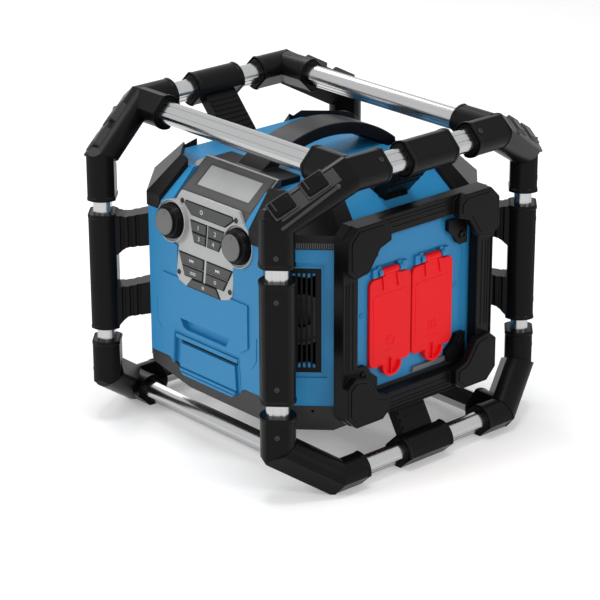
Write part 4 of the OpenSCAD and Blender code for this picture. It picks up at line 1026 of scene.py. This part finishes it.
def build_controls():
    dressed("control_panel", 0.5, 3)
    for name in KEYS:
        dressed(name, 0.55, 3)
    for number in PRESETS:
        key_sign("preset_key_" + number, [], number)
    build_key_gap_shade()
    key_sign("power_key", [arc_band(2.6, 0.8, 125, 415, -11, 21), box_outline(-11.4, 21.2, -10.6, 24)])
    key_sign("media_key_1", arrow(-23, -39.5, -1))
    key_sign("media_key_2", arrow(23, -39.5, 1))
    key_sign("media_key_3", [box_outline(-24, -54.9, -14, -54.1), box_outline(-24, -52.9, -14, -52.1)])
    key_sign("media_key_4", [arc_band(2.0, 0.7, 0, 359, 20, -53.3, 20)])
    key_sign("mode_key", [arc_band(1.9, 0.8, 0, 359, 0, -65.5, 20)])
    build_knob("knob_left", -1)
    build_knob("knob_right", 1)


def build_hood():
    """The bezel plate with a frame round the window, a bright upper edge and the strip at its left."""
    dressed("display_hood", 0.8, 3)
    window = rounded(box_outline(-46.5, 10.5, 46.5, 43.5), 2)
    glass = rounded(box_outline(-44.5, 12.8, 44.5, 41.2), 1.5)
    plate = rounded(box_outline(-60, 1.5, 57, HOOD_LEN - 2), 2)
    bm = bmesh.new()
    slab(bm, HOOD, plate, -1, 0.6, 0.4, holes=[window])
    detail("bezel_plate", bm, BEZEL)
    bm = bmesh.new()
    slab(bm, HOOD, window, -1, 0.25, 0.3, holes=[glass])
    detail("window_frame", bm, GRAPHITE)
    edge_y = HOOD_LEN - 0.4
    strip = [(-71, 4), (-62.6, 2), (-62.6, HOOD_LEN - 3), (-71, HOOD_LEN - 12)]
    bm = bmesh.new()
    rod(bm, HOOD, (-61, edge_y, 0.2), (61, edge_y, 0.2), 0.8)
    rod(bm, HOOD, (61, edge_y, 0.2), (61.4, 2, 0.2), 0.6)
    slab(bm, HOOD, strip, -6, 0.4, 0.6)
    detail("hood_edge", bm, SILVER)


# ---------------------------------------------------------------- right side

SIGN_LOW = 4.9
SIGN_HIGH = 5.7
SIGN_Z = 152
RIDGE_INSETS = (6.5, 10.5, 16.5)
BUMPER_CUT = 13.5
PAD_OUTLINE = [(0, 14), (14, 0), (54, 0), (65, 9), (65, 26), (48, 32), (32, 56), (12, 60), (0, 50)]
CORNER_BLOCK = [(84, 0), (84, 30), (72, 30), (66, 20), (56, 12), (56, 0)]
CORNER_SCREW = [(5, 5), (5, 8.6), (4.4, 9.2), (2.6, 9.2), (2.4, 8), (1, 8)]
SIDE_SCREW = [(3.4, -1), (3.4, 0.8), (2.9, 1.2), (1.6, 1.2), (1.4, 0.5), (0.5, 0.5)]


def flap_hinge(bm, place):
    """A knuckle and a barrel at a flap's head, with two folds under them."""
    slab(bm, place, box_outline(-13, FLAP_HEAD - 3, 13, PIN_Z), 0.9, 4.7, 0.5)
    rod(bm, place, (-9.1, PIN_Z, 2.8), (9.1, PIN_Z, 2.8), 4.4, 24)
    for s in (-1, 1):
        fold = [(s * 13, FLAP_HEAD + 1), (s * 8.5, FLAP_HEAD + 1), (s * 11.5, FLAP_HEAD - 15)]
        slab(bm, place, flared(fold), 3, 6.3, 0.5)


def flap_lip(bm, place):
    """The finger lip at a flap's foot: a half disc, its raised rim and a rib in the middle."""
    level = FLAP_FOOT + 1
    slab(bm, place, arc(14.9, 180, 360, 0, level, 16), 0.8, 4.6, 0.8)
    slab(bm, place, arc_band(14.9, 3.4, 180, 360, 0, level, 16), 3, 8.6, 1.0)
    slab(bm, place, box_outline(-0.9, FLAP_FOOT - 12, 0.9, FLAP_FOOT + 7), 3, 7.6, 0.5)


def flap_sign(bm, place, side):
    """A plain ring with a dot on the front flap, six plain bars on the rear one, and a line under each."""
    if side < 0:
        ring_hole = disc(5.3, 32, 0, SIGN_Z)
        slab(bm, place, disc(6.5, 32, 0, SIGN_Z), SIGN_LOW, SIGN_HIGH, 0.2, holes=[ring_hole])
        slab(bm, place, disc(2.2, 16, 0, SIGN_Z), SIGN_LOW, SIGN_HIGH, 0.2)
    else:
        for z in (149, 156):
            for x in (-5, 0, 5):
                slab(bm, place, box_outline(x - 1.6, z - 2.4, x + 1.6, z + 2.4), SIGN_LOW, SIGN_HIGH, 0.2)
    slab(bm, place, box_outline(-9, 139.5, 9, 141), SIGN_LOW, 5.6, 0.2)


def flap_shell(name, side):
    """A socket flap with round corners, a raised field, a hinge, a finger lip and a sign."""
    place = SIDE @ Matrix.Translation((side * FLAP_MID, 0, 0))
    bm = bmesh.new()
    outline = rounded(box_outline(-FLAP_HALF, FLAP_FOOT, FLAP_HALF, FLAP_HEAD), 9, 6)
    slab(bm, place, outline, 0.8, 4.8, 1.2, steps=3)
    flap_hinge(bm, place)
    flap_lip(bm, place)
    slab(bm, place, rounded(box_outline(-27, FLAP_FOOT + 9, 27, FLAP_HEAD - 20), 5), 4, 5.2, 0.35)
    flap_sign(bm, place, side)
    finish_normals(bm)
    obj = new_piece(name + "_shell", bm, RED)
    soften(obj, 0, angle=40)
    stand_for(obj, name)


def bumper_edge():
    """The bumper's outline: a box with its corners cut off."""
    x0 = -BUMPER_HALF
    x1 = BUMPER_HALF
    y0 = BUMPER_FOOT
    y1 = BUMPER_TOP
    cut = BUMPER_CUT
    return [(x0 + cut, y0), (x1 - cut, y0), (x1, y0 + cut), (x1, y1 - cut),
            (x1 - cut, y1), (x0 + cut, y1), (x0, y1 - cut), (x0, y0 + cut)]


def build_bumper():
    """Ridges along the bars, a lip round the outside and a raised panel on each corner pad."""
    dressed("bumper", 1.2, 3)
    middle = (BUMPER_FOOT + BUMPER_TOP) / 2
    bm = bmesh.new()
    for inset in RIDGE_INSETS:
        for side in (-1, 1):
            y = side * (BUMPER_HALF - inset)
            rod(bm, SIDE, (y, BUMPER_FOOT + 68, BUMPER_OUT), (y, BUMPER_TOP - 68, BUMPER_OUT), 0.8)
            z = middle + side * (middle - BUMPER_FOOT - inset)
            rod(bm, SIDE, (-BUMPER_HALF + 67, z, BUMPER_OUT), (BUMPER_HALF - 67, z, BUMPER_OUT), 0.8)
    edge = bumper_edge()
    slab(bm, SIDE, grown(edge, -0.2), 12, 17.3, 0.7, holes=[grown(edge, -2.4)])
    pad = counter_clockwise([(BUMPER_HALF - x, BUMPER_HALF + 1.5 - y) for x, y in PAD_OUTLINE])
    frame_hole = rounded(grown(pad, -3.4), 1)
    for sy in (-1, 1):
        for end in (-1, 1):
            mirror = SIDE @ Matrix.Translation((0, middle, 0)) @ Matrix.Diagonal((sy, end, 1, 1))
            slab(bm, mirror, rounded(grown(pad, -5), 2), 25, 27, 0.6)
            slab(bm, mirror, rounded(grown(pad, -1.2), 1), 24, 26.3, 0.4, holes=[frame_hole])
    detail("bumper_ridges", bm, RUBBER)


def build_inner_corners():
    """A black block with a screw in each corner of the bumper's opening."""
    bm = bmesh.new()
    for end, z in ((-1, 101), (1, 272)):
        for side in (-1, 1):
            block = [(side * y, z - end * h) for y, h in CORNER_BLOCK]
            slab(bm, SIDE, flared(block), -1, 7, 1.0)
            lathe(bm, SIDE @ Matrix.Translation((side * 77, z - end * 20, 0)), CORNER_SCREW, 24)
    detail("inner_corners", bm, TRIM)


def build_side_bosses():
    """Two screw bosses with an upright line beside each, and two blocks beside each flap's hinge."""
    bm = bmesh.new()
    for side in (1, -1):
        lathe(bm, SIDE @ Matrix.Translation((side * 73.2, 190, 0)), SIDE_SCREW, 24)
        rod(bm, SIDE, (side * 80.5, 128, 0.1), (side * 80.5, 214, 0.1), 0.7)
    for side in (-1, 1):
        for end in (-1, 1):
            y = side * FLAP_MID + end * 22.5
            slab(bm, SIDE, rounded(box_outline(y - 4.2, 231, y + 4.2, 242), 1.5), -1, 4.2, 1.2)
    detail("side_bosses", bm, BLUE)


def build_side():
    dressed("socket_panel", 0.4, 2)
    flap_shell("flap_front", -1)
    flap_shell("flap_rear", 1)
    build_bumper()
    build_inner_corners()
    build_side_bosses()
    bm = bmesh.new()
    slab(bm, SIDE, rounded([(3, 101), (66, 101), (70, 107), (5, 107)], 1), -1, 4, 0.8)
    detail("ledge_strip", bm, DISC)


# ---------------------------------------------------------------- the body

GRILLE_LOW = 130
GRILLE_HIGH = 254
SKIRT_LINE = 90.7
CAP_RIB_PITCH = 2.5
CAP_RIB_HALF = 0.75
DOOR_RIB_PITCH = 9


def build_front():
    """A band over the label plate and one under it, raised lines round it and a dark line in it."""
    bm = bmesh.new()
    slab(bm, FRONT, [(-54.5, 27.5), (54.5, 27.5), (55.3, 33), (-55.3, 33)], -4.5, 0.4, 0.9)
    slab(bm, FRONT, [(-50, -13), (50, -13), (49, -9.4), (-49, -9.4)], -4, 0.2, 0.8)
    for side in (-1, 1):
        rod(bm, FRONT, (side * 57.5, 34.5, 0.1), (side * 61, -6, 0.1), 0.7)
        rod(bm, FRONT, (side * 88, 67, 0.1), (side * 88, 41, 0.1), 0.7)
        rod(bm, FRONT, (side * 88, 41, 0.1), (side * 80, 30, 0.1), 0.7)
    rod(bm, FRONT, (-57.5, 35.6, 0.1), (57.5, 35.6, 0.1), 0.8)
    detail("label_bands", bm, BLUE)
    bm = bmesh.new()
    slab(bm, FRONT, [(-49.4, 22.6), (49.4, 22.6), (50.4, 26.4), (-50.4, 26.4)], -5.2, -4.2, 0.2)
    detail("label_shadow", bm, GRILLE)


def build_chamfers():
    """A frame round each grille, a plate at each of its ends and a line along the lip over the base."""
    bm = bmesh.new()
    for name, sx, sy in CORNERS:
        place = chamfer(sx, sy)
        opening = box_outline(-22, GRILLE_LOW, 22, GRILLE_HIGH)
        slab(bm, place, grown(opening, 2.2), -5, -1.0, 0.7, holes=[grown(opening, -1.6)])
        for z, end in ((GRILLE_LOW, 1), (GRILLE_HIGH, -1)):
            ramp = [(-20, z + end), (20, z + end), (20, z + end * 7), (8, z + end * 12), (-20, z + end * 9)]
            slab(bm, place, counter_clockwise(ramp), -5, -1.2, 2.4, steps=4)
        rod(bm, place, (-39.5, SKIRT_LINE, 0.1), (39.5, SKIRT_LINE, 0.1), 0.7)
    detail("grille_frames", bm, BLUE)


def build_caps():
    """The corner caps, and a row of upright ribs on each corner face, just below the top of the body."""
    for name, sx, sy in CORNERS:
        dressed("cap_" + name, 0.8, 3)
        place = chamfer(sx, sy)
        bm = bmesh.new()
        for step in range(-15, 16):
            x = step * CAP_RIB_PITCH
            slab(bm, place, box_outline(x - CAP_RIB_HALF, 277.6, x + CAP_RIB_HALF, 284.2), 0, 1.9, 0.3)
        detail("cap_ribs_" + name, bm, GRAPHITE)


def build_door(name, place, half, low, high):
    """A door with ribs across it and the frame of a latch at its head."""
    dressed(name, 0.5, 2)
    bm = bmesh.new()
    rows = int((high - low - 34) / DOOR_RIB_PITCH)
    for row in range(rows + 1):
        z = low + 8 + row * DOOR_RIB_PITCH
        slab(bm, place, rounded(box_outline(-half + 12, z, half - 12, z + 3), 1.2), -1.2, 0.4, 0.5)
    latch = rounded(box_outline(-16, high - 17, 16, high - 4), 4)
    latch_hole = rounded(box_outline(-12, high - 14, 12, high - 7), 3)
    slab(bm, place, latch, -1.2, 1.2, 0.8, holes=[latch_hole])
    detail(name + "_ribs", bm, TRIM, node_body[name])


def build_body():
    arm_ribs("bracket_top_left", -1)
    arm_ribs("bracket_top_right", 1)
    dressed("housing", 0.8, 3)
    dressed("base", 0.8, 3)
    dressed("top_cover", 0.6, 3)
    dressed("handle", 2.0, 4)
    for name, sx, sy in CORNERS:
        dressed("grille_" + name, 0.3, 2)
        neck_details(name, sx, sy)
    build_controls()
    build_hood()
    build_front()
    build_chamfers()
    build_caps()
    build_side()
    build_door("battery_door", LEFT, 60, 116, 238)
    build_door("bay_door", REAR, 55, 196, 255)


def build_materials():
    """Gives every CAD node its material, also where no piece stands for it."""
    for name, obj in frame["nodes"].items():
        obj.data.materials.clear()
        obj.data.materials.append(material_of(name))


build_camera()
build_light()
build_floor()
build_materials()
build_cage()
build_screws()
build_body()
